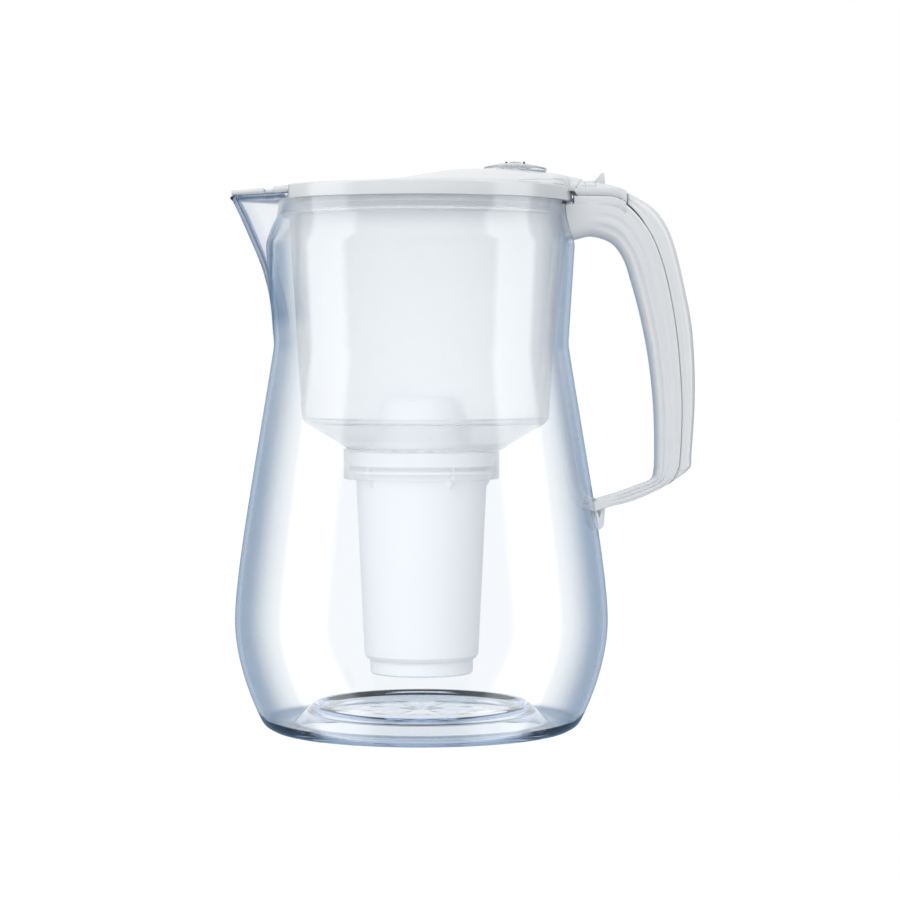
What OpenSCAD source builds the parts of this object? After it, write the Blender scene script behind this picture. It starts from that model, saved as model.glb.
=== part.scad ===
// Water filter pitcher with a flip lid, spout flap, lift-out funnel and screw-in filter cartridge.
// Origin: the jug's axis on the surface it stands on. +Z up, spout towards -X, handle towards +X.

/* [Jug] */
// Height of the jug's round rim
rim_z = 254.8; // [250:0.2:262]
// Outer radius of the foot ring
foot_r = 70; // [66:0.5:74]
// Outer radius of the belly
belly_r = 89.5; // [86:0.5:94]
// Height of the widest point of the belly
belly_z = 52; // [44:1:60]
// How far the waist stands out from the mouth
waist_out = 0.4; // [0:0.1:2]
// Height of the waist
waist_z = 184; // [178:1:190]
// How far the shoulder stands out from the mouth
shoulder_out = 3.4; // [3:0.1:5]
// Outer radius of the mouth
mouth_r = 70; // [69.5:0.1:71]
// Thickness of the jug's wall
wall = 2.2; // [1.8:0.1:2.6]
// Radius of the raised floor inside the foot
push_up_r = 50; // [46:0.5:53]
// Height of the raised floor's ring
push_up_z = 12.5; // [11:0.5:14]
// Depth of the disc sunk in the raised floor
push_up_recess = 3.2; // [2:0.2:4]

/* [Spout] */
// How far the spout's lip reaches past the mouth
lip_out = 21.4; // [19.4:0.2:23.4]
// Height of the spout's rim
spout_z = 255.2; // [254.9:0.1:255.5]
// Half angle of the V seen from above
spout_angle = 45; // [42:1:50]
// Width of the blunt front of the V
lip_w = 7; // [5:0.5:9]

/* [Handle] */
// Width of the grip
grip_w = 27; // [24:0.5:30]
// Width of the lower arm
arm_w = 19; // [16:0.5:22]
// Width of the tail on the jug's wall
tail_w = 14; // [12:0.5:16]
// Length of the tail below the arm
tail_len = 13; // [10:0.5:15]
// Width of the rail that carries the handle's root
rail_w = 10; // [8:0.5:12]
// Gap between the handle's two shells
shell_gap = 0.2; // [0.1:0.05:0.3]

/* [Lid] */
// How far the lid's band stands out from the mouth
band_out = 2; // [1.6:0.1:3]
// Height of the lid's band
band_h = 6; // [5:0.2:7]
// Thickness of the lid's mouldings
lid_t = 1.8; // [1.4:0.1:2.2]
// Radius of the fill opening
fill_r = 50; // [44:1:52]
// Where the centre of the fill opening lies behind the spout side
fill_x = -7; // [-9:0.5:0]
// Half width of the tongue over the handle's root
tongue_half = 13; // [12:0.5:14]
// How far the lid's tongue reaches behind the mouth
tongue_out = 27.6; // [26:0.2:28]
// Rise of the flap's crest above the band
crest_rise = 11; // [9:0.2:12]
// Gap round the flap
flap_gap = 0.5; // [0.4:0.05:0.8]
// How far the flap's hinge lies behind the mouth
hinge_out = 9.6; // [8.6:0.2:10.4]
// Radius of the flap's hinge pin
hinge_pin_r = 1.1; // [0.9:0.1:1.3]
// Running clearance of the hinge pins
pin_fit = 0.06; // [0.03:0.01:0.08]

/* [Indicator] */
// Radius of the turning dial
dial_r = 15; // [13:0.5:16]
// Thickness of the dial
dial_t = 2.2; // [1.8:0.1:2.6]
// Where the dial's axle lies behind the jug's axis
dial_x = 44.9; // [43:0.2:46]
// Tilt of the dial towards the handle
dial_tilt = 1.2; // [0:0.2:2]

/* [Funnel] */
// Gap between the funnel's collar and the jug's mouth
collar_gap = 0.4; // [0.3:0.05:0.8]
// Thickness of the funnel's wall
funnel_t = 1.7; // [1.4:0.1:2]
// Outer radius of the funnel's cup at its floor
cup_floor_r = 59.2; // [57:0.2:60.5]
// How far the funnel's cup is set away from the spout
cup_shift = 2; // [1:0.1:2]
// Height of the funnel's floor at its wall
cup_floor_z = 146; // [143:0.5:150]
// Height of the funnel's neck
neck_z = 135; // [133.5:0.5:136.5]
// Inner radius of the neck's skirt
neck_r = 35.6; // [35:0.1:36.5]
// Length of the neck's skirt
neck_len = 15.2; // [14:0.2:16]

/* [Cartridge] */
// Radius of the cup below its collar
cart_top_r = 31.3; // [30.5:0.1:32]
// Radius of the cup above its outlet base
cart_foot_r = 27.4; // [26.5:0.1:28.2]
// Height of the outlet base's underside above the table
cart_bottom_z = 26.6; // [26.2:0.1:30]
// Height of the outlet base
cart_base_h = 7.2; // [6:0.2:8.5]
// Radius of the outlet base
cart_base_r = 24.7; // [23.5:0.1:25.5]
// Radius of the domed cap at its foot
dome_r = 24.5; // [23.5:0.1:25]
// Height of the domed cap
dome_h = 26; // [22:0.5:28]
// Thickness of the cartridge's mouldings
cart_t = 1.6; // [1.3:0.1:1.9]
// Gusset ribs below the collar
rib_count = 5; // [4:1:8]
// Turns of the thread that let the cartridge go
thread_turns = 1.5; // [1:0.25:2]

/* [Hidden] */
$fn = 96;
eps = 0.01;
seat = 0.3;           // gap of a piece that lies on its neighbour
fine = 9;             // steps in each curve of an outline
floor_z = 3.3;        // inner floor beside the push-up
waist_r = mouth_r + waist_out;
shoulder_r = mouth_r + shoulder_out;
band_r = mouth_r + band_out;
tongue_x = mouth_r + tongue_out;
lip_x = mouth_r + lip_out;
hinge_x = mouth_r + hinge_out;
shoulder_z = waist_z + 48;
mouth_z = shoulder_z + 13.5;
foot_run = 10;        // width of the ring that the jug stands on
flange_t = 1.2;       // funnel's flange on the jug's rim
flange_z = rim_z + 0.2;
deck_z = flange_z + flange_t + seat;
deck_t = 1;
band_z = deck_z + deck_t + 0.5;                // top of the lid's band
skirt_r = mouth_r + 0.4;
flap_z = deck_z + deck_t + seat;               // underside of the flap's rim
flap_r = band_r - 2.1;
nose_x = mouth_r - 8.5;                        // where the band is cut for the spout
nose_end = lip_x - 19.6;                       // where the spout flap's pin lies
nose_z = spout_z + seat;

// --- Curves -----------------------------------------------------------------
// Cubic Bezier curve from a to d, without its last point.
function bezier(a, b, c, d, n = fine) =
    [for (i = [0:n - 1]) let (t = i / n, s = 1 - t) s*s*s*a + 3*s*s*t*b + 3*s*t*t*c + t*t*t*d];
// Smooth curve through a list of points or numbers at u, with one unit of u per step.
function through(p, u) =
    let (m = len(p) - 1, i = min(floor(u), m - 1), t = u - i,
         a = p[max(i - 1, 0)], b = p[i], c = p[i + 1], d = p[min(i + 2, m)])
    0.5 * (2*b + (c - a)*t + (2*a - 5*b + 4*c - d)*t*t + (3*b - a - 3*c + d)*t*t*t);
// Height of a curve given as [x, height] stations, linear between them.
function at(p, x) =
    let (m = len(p) - 1, i = max([0, for (k = [0:m - 1]) if (x >= p[k][0]) k]),
         t = (x - p[i][0]) / (p[i + 1][0] - p[i][0]))
    p[i][1] + (p[i + 1][1] - p[i][1]) * t;
// The same, rounded at the stations by averaging over a span.
function soft(p, x, span) =
    (at(p, x - span) + 2 * at(p, x - span / 2) + 3 * at(p, x) + 2 * at(p, x + span / 2)
     + at(p, x + span)) / 9;

// --- Solids from rings ----------------------------------------------------------
// A closed skin over rings of equal length, with flat ends.
module skin(rings) {
    m = len(rings[0]);
    k = len(rings);
    polyhedron(
        points = [for (r = rings) each r],
        faces = [for (i = [0:k - 2]) for (j = [0:m - 1])
                     [i*m + j, i*m + (j + 1) % m, (i + 1)*m + (j + 1) % m, (i + 1)*m + j],
                 [for (j = [m - 1:-1:0]) j],
                 [for (j = [0:m - 1]) (k - 1)*m + j]]);
}
// A slab between two grids of equal size, closed round its edges.
module slab(top, under) {
    k = len(top);
    m = len(top[0]);
    n = k * m;
    polyhedron(
        points = [for (r = top) each r, for (r = under) each r],
        faces = [for (i = [0:k - 2]) for (j = [0:m - 2])
                     [i*m + j, i*m + j + 1, (i + 1)*m + j + 1, (i + 1)*m + j],
                 for (i = [0:k - 2]) for (j = [0:m - 2])
                     [n + i*m + j, n + (i + 1)*m + j, n + (i + 1)*m + j + 1, n + i*m + j + 1],
                 for (i = [0:k - 2])
                     [i*m, (i + 1)*m, n + (i + 1)*m, n + i*m],
                 for (i = [0:k - 2])
                     [i*m + m - 1, n + i*m + m - 1, n + (i + 1)*m + m - 1, (i + 1)*m + m - 1],
                 for (j = [0:m - 2])
                     [j, n + j, n + j + 1, j + 1],
                 for (j = [0:m - 2])
                     [(k - 1)*m + j, (k - 1)*m + j + 1, n + (k - 1)*m + j + 1, n + (k - 1)*m + j]]);
}
module tube(r_out, r_in, z0, z1) {
    translate([0, 0, z0]) difference() {
        cylinder(r = r_out, h = z1 - z0);
        translate([0, 0, -1]) cylinder(r = r_in, h = z1 - z0 + 2);
    }
}
// A round bar along Y.
module bar_y(r, half, x, z) {
    translate([x, half, z]) rotate([90, 0, 0]) cylinder(r = r, h = 2 * half, $fn = 32);
}

// --- Jug ------------------------------------------------------------------------
// Outer outline from the foot to the rim, moved inwards by d.
function jug_side(d) =
    [for (p = concat(
        bezier([foot_r, 0], [foot_r + 4, 0], [foot_r + 6, 2.6], [foot_r + 7.2, 5], 4),
        bezier([foot_r + 7.2, 5], [foot_r + 12, 14.6], [belly_r, belly_z * 0.65], [belly_r, belly_z]),
        bezier([belly_r, belly_z], [belly_r, belly_z + 24], [waist_r + 6.8, waist_z - 44],
               [waist_r, waist_z]),
        [[waist_r, waist_z], [shoulder_r, shoulder_z], [mouth_r, mouth_z], [mouth_r, rim_z]]))
        [p[0] - d, p[1]]];
module jug_outside() {
    rotate_extrude() polygon(concat([[0, 0]], jug_side(0), [[0, rim_z]]));
}
// The water's space: the side moved in by the wall, down to the floor and its push-up.
module jug_inside() {
    rotate_extrude() polygon(concat(
        [[0, push_up_z - push_up_recess], [push_up_r - 1.2, push_up_z - push_up_recess],
         [push_up_r - 0.4, push_up_z], [push_up_r + 1.6, push_up_z],
         [foot_r - foot_run + 1.2, floor_z], [foot_r + 1, floor_z]],
        [for (p = jug_side(wall)) if (p[1] > floor_z + 1) p],
        [[mouth_r - wall, rim_z + 20], [0, rim_z + 20]]));
}
// Hollow under the foot that leaves a ring to stand on.
module foot_hollow() {
    rotate_extrude() polygon([[0, -1], [foot_r - foot_run + 1, -1], [foot_r - foot_run, 0],
        [push_up_r + 0.4, push_up_z - wall - 1.8], [push_up_r - 2, push_up_z - push_up_recess - wall],
        [0, push_up_z - push_up_recess - wall]]);
}
// Front line of the spout, seen from the side: reach at each height.
lip_line = [[waist_z + 4, waist_r - 0.3], [shoulder_z - 32, waist_r + 0.8], [shoulder_z - 22, waist_r + 2.8],
            [shoulder_z - 12, waist_r + 5.6], [shoulder_z - 5, lip_x - 12.7], [shoulder_z + 2, lip_x - 9.6],
            [spout_z - 9.2, lip_x - 4.4], [spout_z - 4.2, lip_x - 1.8], [spout_z, lip_x]];
lip_steps = 24;
lip_z0 = waist_z + 5;
lip_back = lip_w / 2 / tan(spout_angle);    // from the blunt front to the V's sharp edge
function lip(z) = soft(lip_line, min(z, spout_z - 1.2), 2.4) + max(0, z - spout_z + 1.2) * 0.1;
// One side of the V: a prism whose edge follows the front line, moved in by d.
module spout_side(d, top, side) {
    turn = 90 - spout_angle;
    reach = sin(spout_angle);
    heights = [for (i = [0:lip_steps]) lip_z0 + (top - lip_z0) * i / lip_steps];
    rotate([0, 0, side * turn]) rotate([90, 0, 0]) translate([0, 0, -120])
        linear_extrude(240) polygon(concat(
            [for (z = heights) [-(lip(z) + lip_back) * reach + d, z]], [[0, top], [0, lip_z0]]));
}
// The whole V from its own two sides and its blunt front, moved in by d.
module spout_form(d, top) {
    intersection() {
        spout_side(d, top, 1);
        spout_side(d, top, -1);
        rotate([90, 0, 0]) translate([0, 0, -40]) linear_extrude(80) polygon(concat(
            [for (i = [0:lip_steps]) let (z = lip_z0 + (top - lip_z0) * i / lip_steps)
                [-lip(z) + d, z]], [[-20, top], [-20, lip_z0]]));
    }
}
// The rail behind the handle's root and the boss behind its tail.
rail_z0 = mouth_z - 2;
rail_h = 7;
rail_t = 3.2;
arm_z = 110;           // where the lower arm meets the jug
function jug_r(z) = let (s = jug_side(0), m = len(s) - 1,
    i = max([0, for (k = [0:m - 1]) if (z >= s[k][1]) k]),
    t = (z - s[i][1]) / (s[i + 1][1] - s[i][1])) s[i][0] + (s[i + 1][0] - s[i][0]) * t;
module jug_body() {
    color([0.80, 0.88, 0.95, 0.35]) difference() {
        union() {
            jug_outside();
            difference() {
                spout_form(0, spout_z);
                translate([-nose_x - 0.5, -100, rim_z]) cube([200, 200, 20]);
            }
            translate([mouth_r - wall / 2, -rail_w / 2, rail_z0]) cube([rail_t, rail_w, rail_h]);
        }
        difference() {
            union() {
                jug_inside();
                spout_form(wall, spout_z + 5);
            }
            tail_boss();
        }
        foot_hollow();
    }
}
// A thick spot of the wall that the handle's tail clips against.
module tail_boss() {
    translate([jug_r(arm_z) - wall - 2.6, -tail_w / 2, arm_z - tail_len])
        cube([8, tail_w, tail_len]);
}

// --- Handle -----------------------------------------------------------------------
// Stations along the handle: inner edge, seam with the rear cover (or lower edge), half width.
root_top = rim_z - 3.6;
grip = grip_w / 2;
arm = arm_w / 2;
function past_mouth(list) = [for (p = list) [mouth_r + p[0], p[1]]];
handle_in = past_mouth([[-6, 233.6], [3.4, 234.2], [11.6, 235.7], [21.2, 232.4], [27, 224.6],
                        [30.2, 215], [34.6, 199], [38.8, 178], [41.4, 154], [41.9, 132],
                        [41.5, 122.8], [39.6, 119], [33.2, 116.5], [25.8, 113.7], [18.6, 111.5],
                        [10, 109]]);
handle_seam = past_mouth([[-6, root_top], [2.6, root_top], [14, root_top + 1.9],
                          [26, root_top + 0.2], [37.6, 239], [44.8, 222.4], [49.9, 200],
                          [52.8, 177], [54.1, 153], [53.3, 131], [52, 123.6], [47.6, 117.4],
                          [34.8, 110.9], [26.8, 108.2], [20, 106.6], [11, 103.6]]);
handle_half = [grip, grip, grip, grip, grip, grip, grip, grip, grip, grip, grip * 0.96,
               grip * 0.84, arm, arm, arm, arm];
// Outer edge of the rear cover at stations 3 to 11 of the handle.
cover_out = past_mouth([[28.6, root_top + 5.2], [41.4, 248.4], [49.6, 235], [56.2, 209],
                        [59.7, 188], [60.8, 160], [59.3, 132], [58.5, 125.2], [51.6, 119.9]]);
handle_steps = 3;      // rings per station
// A rounded ring across the handle between its inner and outer edge, squarer on the outer side.
ring_n = 14;
function ring(a, b, half, roundness) =
    let (mid = (a + b) / 2, d = (b - a) / 2)
    [for (k = [0:ring_n - 1]) let (t = 360 * (k + 0.5) / ring_n,
        c = sign(cos(t)) * pow(abs(cos(t)), roundness),
        s = sign(sin(t)) * pow(abs(sin(t)), cos(t) > 0 ? roundness * 0.55 : roundness))
        [mid[0] + d[0] * c, half * s, mid[1] + d[1] * c]];
function sweep(a, b, half, roundness, n) =
    [for (i = [0:(len(a) - 1) * n]) let (u = i / n)
        ring(through(a, u), through(b, u), through(half, u), roundness)];
// Room for the lever's fin when the flap is open.
fin_w = 10;
module fin_room(z0, z1) {
    translate([hinge_x - 6, -fin_w / 2 - 0.6, z0]) cube([21, fin_w + 1.2, z1 - z0]);
}
// Saddle on the handle's root that the lid's tongue rests over.
saddle_gap = 0.4;
module saddle() {
    x0 = band_r + 0.6;
    x1 = tongue_x - 0.4;
    xs = [for (i = [0:8]) x0 + (x1 - x0) * i / 8];
    translate([0, grip - 0.9, 0]) rotate([90, 0, 0]) linear_extrude(2 * grip - 1.8)
        polygon(concat([for (x = xs) [x, tongue_under(x) - saddle_gap]],
                       [[x1, root_top - 5], [x0, root_top - 5]]));
}
module handle_front() {
    color([0.94, 0.95, 0.96]) difference() {
        union() {
            saddle();
            skin(sweep(handle_in, handle_seam, handle_half, 0.62, handle_steps));
            translate([0, -tail_w / 2, 0]) rotate([90, 0, 0]) mirror([0, 0, 1])
                linear_extrude(tail_w) polygon([[mouth_r + 8, arm_z + 1], [mouth_r + 18, arm_z - 3],
                    [mouth_r + 17.2, arm_z - tail_len], [mouth_r + 15.2, arm_z - tail_len - 1.5],
                    [mouth_r + 8, arm_z - tail_len - 1.5]]);
        }
        rotate_extrude() polygon(concat([[0, 0]], jug_side(-0.1), [[0, rim_z]]));
        translate([0, -rail_w / 2 - 0.1, rail_z0 - 20])
            cube([mouth_r - wall / 2 + rail_t + 0.1, rail_w + 0.2, rail_h + 20.1]);
        fin_room(root_top - 5, root_top + 10);
    }
}
module handle_rear_cover() {
    n = len(cover_out);
    away = [shell_gap, shell_gap * 0.4];
    past_tongue = [tongue_x + 0.4 - handle_seam[3][0], -0.8];
    color([0.95, 0.96, 0.97]) skin([for (i = [0:(n - 1) * handle_steps]) let (u = i / handle_steps)
        let (a = through(handle_seam, u + 3) + away + max(0, 1 - u) * past_tongue,
             b = through(cover_out, u), half = grip * 0.88,
             d = b - a, w = u < 1 ? 0.9 + 0.1 * u : u > n - 2 ? 0.95 : 1)
        [for (k = [0:ring_n - 1]) let (t = 180 * k / (ring_n - 1),
            c = pow(max(0, sin(t)), 0.62), s = -sign(cos(t)) * pow(abs(cos(t)), 0.5))
            [a[0] + d[0] * c, half * w * s, a[1] + d[1] * c]]]);
}

// --- Funnel -------------------------------------------------------------------------
collar_r = mouth_r - wall - collar_gap;
cup_top_r = collar_r - cup_shift - 0.2;
ledge_z = mouth_z - 0.6;
shelf_t = 1.6;
shelf_r = 28.6;        // opening that the cartridge's dome passes
neck_out = neck_r + funnel_t;
module funnel() {
    t = funnel_t;
    shelf_under = neck_z + 0.2 - shelf_t;
    color([0.90, 0.93, 0.96, 0.6]) difference() {
        union() {
            translate([cup_shift, 0, 0]) rotate_extrude() polygon([
                [cup_top_r, ledge_z + t], [cup_floor_r, cup_floor_z + 2.6], [cup_floor_r - 2.2, cup_floor_z],
                [neck_out + cup_shift + 3.6, neck_z + 2.6], [neck_out + cup_shift + 0.6, shelf_under],
                [shelf_r - cup_shift - 1, shelf_under], [shelf_r - cup_shift - 1, neck_z + 0.2],
                [neck_out + cup_shift - 1, neck_z + 0.2], [neck_out + cup_shift + 2.6, neck_z + 4.2],
                [cup_floor_r - t - 1.4, cup_floor_z + 1.7], [cup_floor_r - t, cup_floor_z + 3.4],
                [cup_top_r - t, ledge_z + t]]);
            difference() {
                translate([0, 0, ledge_z]) cylinder(r = collar_r, h = t);
                translate([cup_shift, 0, ledge_z - 1]) cylinder(r = cup_top_r - t, h = t + 2);
            }
            tube(collar_r, collar_r - t, ledge_z, flange_z + flange_t);
            intersection() {
                tube(mouth_r - 0.2, collar_r - t, flange_z, flange_z + flange_t);
                translate([-nose_x, -100, 0]) cube([200, 200, 300]);
            }
            tube(neck_out, neck_r, neck_z - neck_len, neck_z);
        }
        translate([0, 0, neck_z - neck_len - 1]) cylinder(r = neck_r, h = neck_len - shelf_t + 1.2);
        translate([0, 0, neck_z - 5]) cylinder(r = shelf_r, h = 10);
    }
}

// --- Lid ----------------------------------------------------------------------------
// Height of the crest over the band along the jug, as shares of its rise.
crest_shape = [[-nose_x - 8.5, 0.10], [-nose_x + 0.5, 0.13], [-nose_x + 14.5, 0.21], [-nose_x + 29.5, 0.26],
               [-nose_x + 45.5, 0.30], [-6, 0.47], [9, 0.75], [hinge_x - 62.6, 0.835],
               [hinge_x - 46.6, 0.885], [hinge_x - 34.6, 0.865], [hinge_x - 17.6, 0.715],
               [hinge_x - 5.6, 0.485], [hinge_x + 6.4, 0.265], [hinge_x + 13.4, 0.10],
               [hinge_x + 18.4, -0.13], [hinge_x + 30.4, -0.6]];
edge_rise = 0.6;
function crest(x) = soft(crest_shape, x, 3) * crest_rise;
// Top of the lid over the spout, rising from the lip to the band.
function nose_top(x) = nose_z + 1.2 + 1.4 * pow(max(0, (lip_x + x) / (lip_x - nose_x)), 2);
function spout_half(x) = (lip_x + lip_back + x) * tan(spout_angle) - 0.3;
function round_half(r, x) = sqrt(max(0, r*r - x*x));
function lid_half(x) =
    x < -nose_x ? spout_half(x) : max(round_half(band_r - 0.3, x), tongue_half);
// The crest is a parabola across the flap and turns into the tongue's flat top with steep sides.
flap_turn = 45;
function across_power(x) = 2 + 4 * min(1, max(0, (x - flap_turn - 15) / 14));
function lid_top(x, y) =
    let (s = min(1, abs(y) / lid_half(x)))
    x < -nose_x ? nose_top(x)
        : band_z + min(crest(x), edge_rise)
          + max(0, crest(x) - edge_rise) * (1 - pow(s, across_power(x)));
// Underside of the tongue over the handle's root, bent down at its end.
tongue_bend = mouth_r + 16;
function tongue_under(x) = rim_z - (x - band_r) * 0.02
    - 3 * pow(max(0, x - tongue_bend) / (tongue_x - tongue_bend), 3);
// Half width of the flap: round at the front, drawn in towards the hinge.
flap_front = nose_x - flap_gap;
flap_end = hinge_x - 3;
hinge_half = 9;
function flap_half(x) =
    let (t = (x - flap_turn) / (flap_end - flap_turn), w = round_half(flap_r, flap_turn))
    x < flap_turn ? round_half(flap_r, x)
                  : hinge_half + 1 + (w - hinge_half - 1) * pow(max(0, 1 - t), 1.05);
// The flap itself is narrower still at its back, so that its corners swing clear of the lid's walls.
corner_room = 0.9;
function flap_edge(x) = flap_half(x) - corner_room * max(0, min(1, (x - flap_end + 14) / 12));
across = 14;
function row(x, half, z_of) = [for (j = [0:across]) let (y = half * (2 * j / across - 1))
    [x, y, z_of(x, y)]];
function span(a, b, n) = [for (i = [0:n]) a + (b - a) * i / n];
function flap_under(x, y) = max(flap_z, lid_top(x, y) - lid_t);
flap_xs = concat(span(-flap_front, flap_turn, 18), span(flap_turn + 4, flap_end, 8));
module flap_plan(grow) {
    linear_extrude(400) polygon(concat(
        [for (x = flap_xs) [x, flap_half(x) + grow]], [[flap_end + 1.4, hinge_half + 1 + grow],
         [flap_end + 1.4, -hinge_half - 1 - grow]],
        [for (i = [len(flap_xs) - 1:-1:0]) [flap_xs[i], -flap_half(flap_xs[i]) - grow]]));
}
barrel_r = 2.6;
hinge_z = band_z + crest(hinge_x) - barrel_r - 0.4;
dial_sink = 0.7;       // how far the dial's plane lies under the crest
dial_z = band_z + crest(dial_x) - dial_sink;
// Puts its children on the dial's tilted axis.
module at_dial() {
    translate([dial_x, 0, dial_z]) rotate([0, dial_tilt, 0]) children();
}
axle_r = 1.5;
plate_z = -1.2;        // recess of the indicator's scale below the crest
lever_half = fin_w / 2;
module lid_flap() {
    color([0.95, 0.96, 0.97]) difference() {
        union() {
            slab([for (x = flap_xs) row(x, flap_edge(x), function (x, y) lid_top(x, y))],
                 [for (x = flap_xs) row(x, flap_edge(x), function (x, y) flap_under(x, y))]);
            bar_y(barrel_r, hinge_half, hinge_x, hinge_z);
            translate([flap_end - 2, -hinge_half, hinge_z - 2]) cube([3.6, 2 * hinge_half, 4]);
            at_dial() translate([0, 0, plate_z - 2.2]) cylinder(r = dial_r + 1.6, h = 2.9);
        }
        at_dial() translate([0, 0, plate_z]) cylinder(r = dial_r + 0.4, h = 10);
        at_dial() translate([0, 0, -10]) cylinder(r = axle_r + 0.05, h = 20);
        bar_y(hinge_pin_r + pin_fit, hinge_half + 1, hinge_x, hinge_z);
        translate([flap_end - 2.5, -lever_half - 0.2, hinge_z - 8])
            cube([12, 2 * lever_half + 0.4, 20]);
    }
}
// Fin behind the hinge, hub on the pin and an arm clipped under the flap.
arm_reach = 18;
module thumb_lever() {
    under_tip = flap_under(hinge_x - arm_reach, lever_half) - 0.3;
    under_end = flap_under(flap_end - 3, lever_half) - 0.3;
    color([0.93, 0.94, 0.95]) difference() {
        union() {
            bar_y(barrel_r, lever_half, hinge_x, hinge_z);
            translate([hinge_x, lever_half, hinge_z]) rotate([90, 0, 0]) linear_extrude(2 * lever_half)
                polygon([[0, barrel_r - 0.2], [3, 2.7], [5.9, 6], [6.6, 6.6], [7.2, 6.6], [7.6, 6.2],
                         [8.3, 0.4], [8, -1.2], [2.4, -2.2], [-1.2, -2.3]]);
            translate([hinge_x, lever_half, 0]) rotate([90, 0, 0]) linear_extrude(2 * lever_half)
                polygon([[0, hinge_z - barrel_r + 0.2], [-arm_reach, under_tip - 2.2],
                         [-arm_reach, under_tip], [-6, under_end], [-1.6, hinge_z + 1.9]]);
        }
        bar_y(hinge_pin_r + pin_fit, lever_half + 1, hinge_x, hinge_z);
    }
}
pin_half = tongue_half - 1.4;
module flap_hinge_pin() {
    color([0.75, 0.77, 0.8]) bar_y(hinge_pin_r, pin_half, hinge_x, hinge_z);
}
// Spout flap's hinge.
spout_barrel_r = 1.7;
spout_pin_r = 0.8;
spout_hinge_z = nose_top(-nose_end) - spout_barrel_r;
spout_hinge_half = 9;
spout_pin_half = spout_hinge_half + 3;
module shoulders() {
    xs = concat(span(mouth_r - 28, band_r, 12), span(band_r + 1.5, tongue_x, 10));
    low = function (x, y) x < band_r + 1 ? deck_z : tongue_under(x);
    difference() {
        slab([for (x = xs) row(x, lid_half(x), function (x, y) lid_top(x, y))],
             [for (x = xs) row(x, lid_half(x), low)]);
        bar_y(barrel_r + flap_gap, hinge_half + 0.4, hinge_x, hinge_z);
        translate([hinge_x - 8, -hinge_half - 0.4, deck_z - 3]) cube([8, 2 * hinge_half + 0.8, 20]);
        fin_room(240, 280);
    }
}
module nose() {
    xs = span(-nose_end - 1.1, -nose_x, 10);
    difference() {
        union() {
            slab([for (x = xs) row(x, spout_half(x), function (x, y) lid_top(min(x, -nose_x - eps), y))],
                 [for (x = xs) row(x, spout_half(x), function (x, y) nose_z)]);
            translate([-nose_x - 5, -18, deck_z]) cube([11, 36, deck_t]);
            for (side = [-1, 1]) translate([-nose_end - 1, side * (spout_hinge_half + 2.2), spout_hinge_z - 1.4])
                translate([0, -1.7, 0]) cube([2.8, 3.4, 2.2]);
        }
        translate([0, 0, nose_z - 1]) cylinder(r = collar_r + 0.5, h = deck_z - nose_z + 1);
        translate([-nose_x - 0.4, -100, nose_z - 1]) cube([2, 200, deck_z - nose_z + 1]);
        bar_y(spout_barrel_r + 0.9, spout_hinge_half + 0.4, -nose_end, spout_hinge_z);
        translate([-nose_end - 4, -spout_hinge_half - 0.4, nose_z - 3])
            cube([4, 2 * spout_hinge_half + 0.8, 12]);
        bar_y(spout_pin_r + pin_fit, spout_pin_half + 0.3, -nose_end, spout_hinge_z);
    }
}
module lid_frame() {
    color([0.96, 0.97, 0.98]) difference() {
        union() {
            difference() {
                union() {
                    tube(band_r, skirt_r, band_z - band_h, band_z);
                    tube(skirt_r + 1, fill_r + 10, deck_z, deck_z + deck_t);
                    tube(collar_r - funnel_t - 0.4, collar_r - funnel_t - 2, deck_z - 7, deck_z + 0.2);
                }
                translate([-200 - nose_x, -100, 200]) cube([200, 200, 100]);
            }
            translate([0, 0, deck_z]) difference() {
                cylinder(r = fill_r + 14, h = deck_t);
                translate([fill_x, 0, -1]) cylinder(r = fill_r, h = deck_t + 2);
            }
            shoulders();
            nose();
        }
        translate([0, 0, deck_z + deck_t]) flap_plan(flap_gap);
        translate([0, tongue_half + 1, 0]) bar_y(hinge_pin_r + pin_fit, pin_half + 1.2 + tongue_half,
            hinge_x, hinge_z);
    }
}
module spout_flap() {
    xs = span(-lip_x + 0.8, -nose_end - 2.3, 8);
    color([0.95, 0.96, 0.97]) difference() {
        union() {
            slab([for (x = xs) row(x, spout_half(x), function (x, y) lid_top(x, y))],
                 [for (x = xs) row(x, spout_half(x), function (x, y) nose_z)]);
            bar_y(spout_barrel_r, spout_hinge_half, -nose_end, spout_hinge_z);
            translate([-nose_end - 3, -spout_hinge_half, nose_z - 0.4])
                cube([3, 2 * spout_hinge_half, 1.5]);
        }
        bar_y(spout_pin_r + pin_fit, spout_hinge_half + 1, -nose_end, spout_hinge_z);
    }
}
module spout_flap_pin() {
    color([0.75, 0.77, 0.8]) bar_y(spout_pin_r, spout_pin_half, -nose_end, spout_hinge_z);
}

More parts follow.
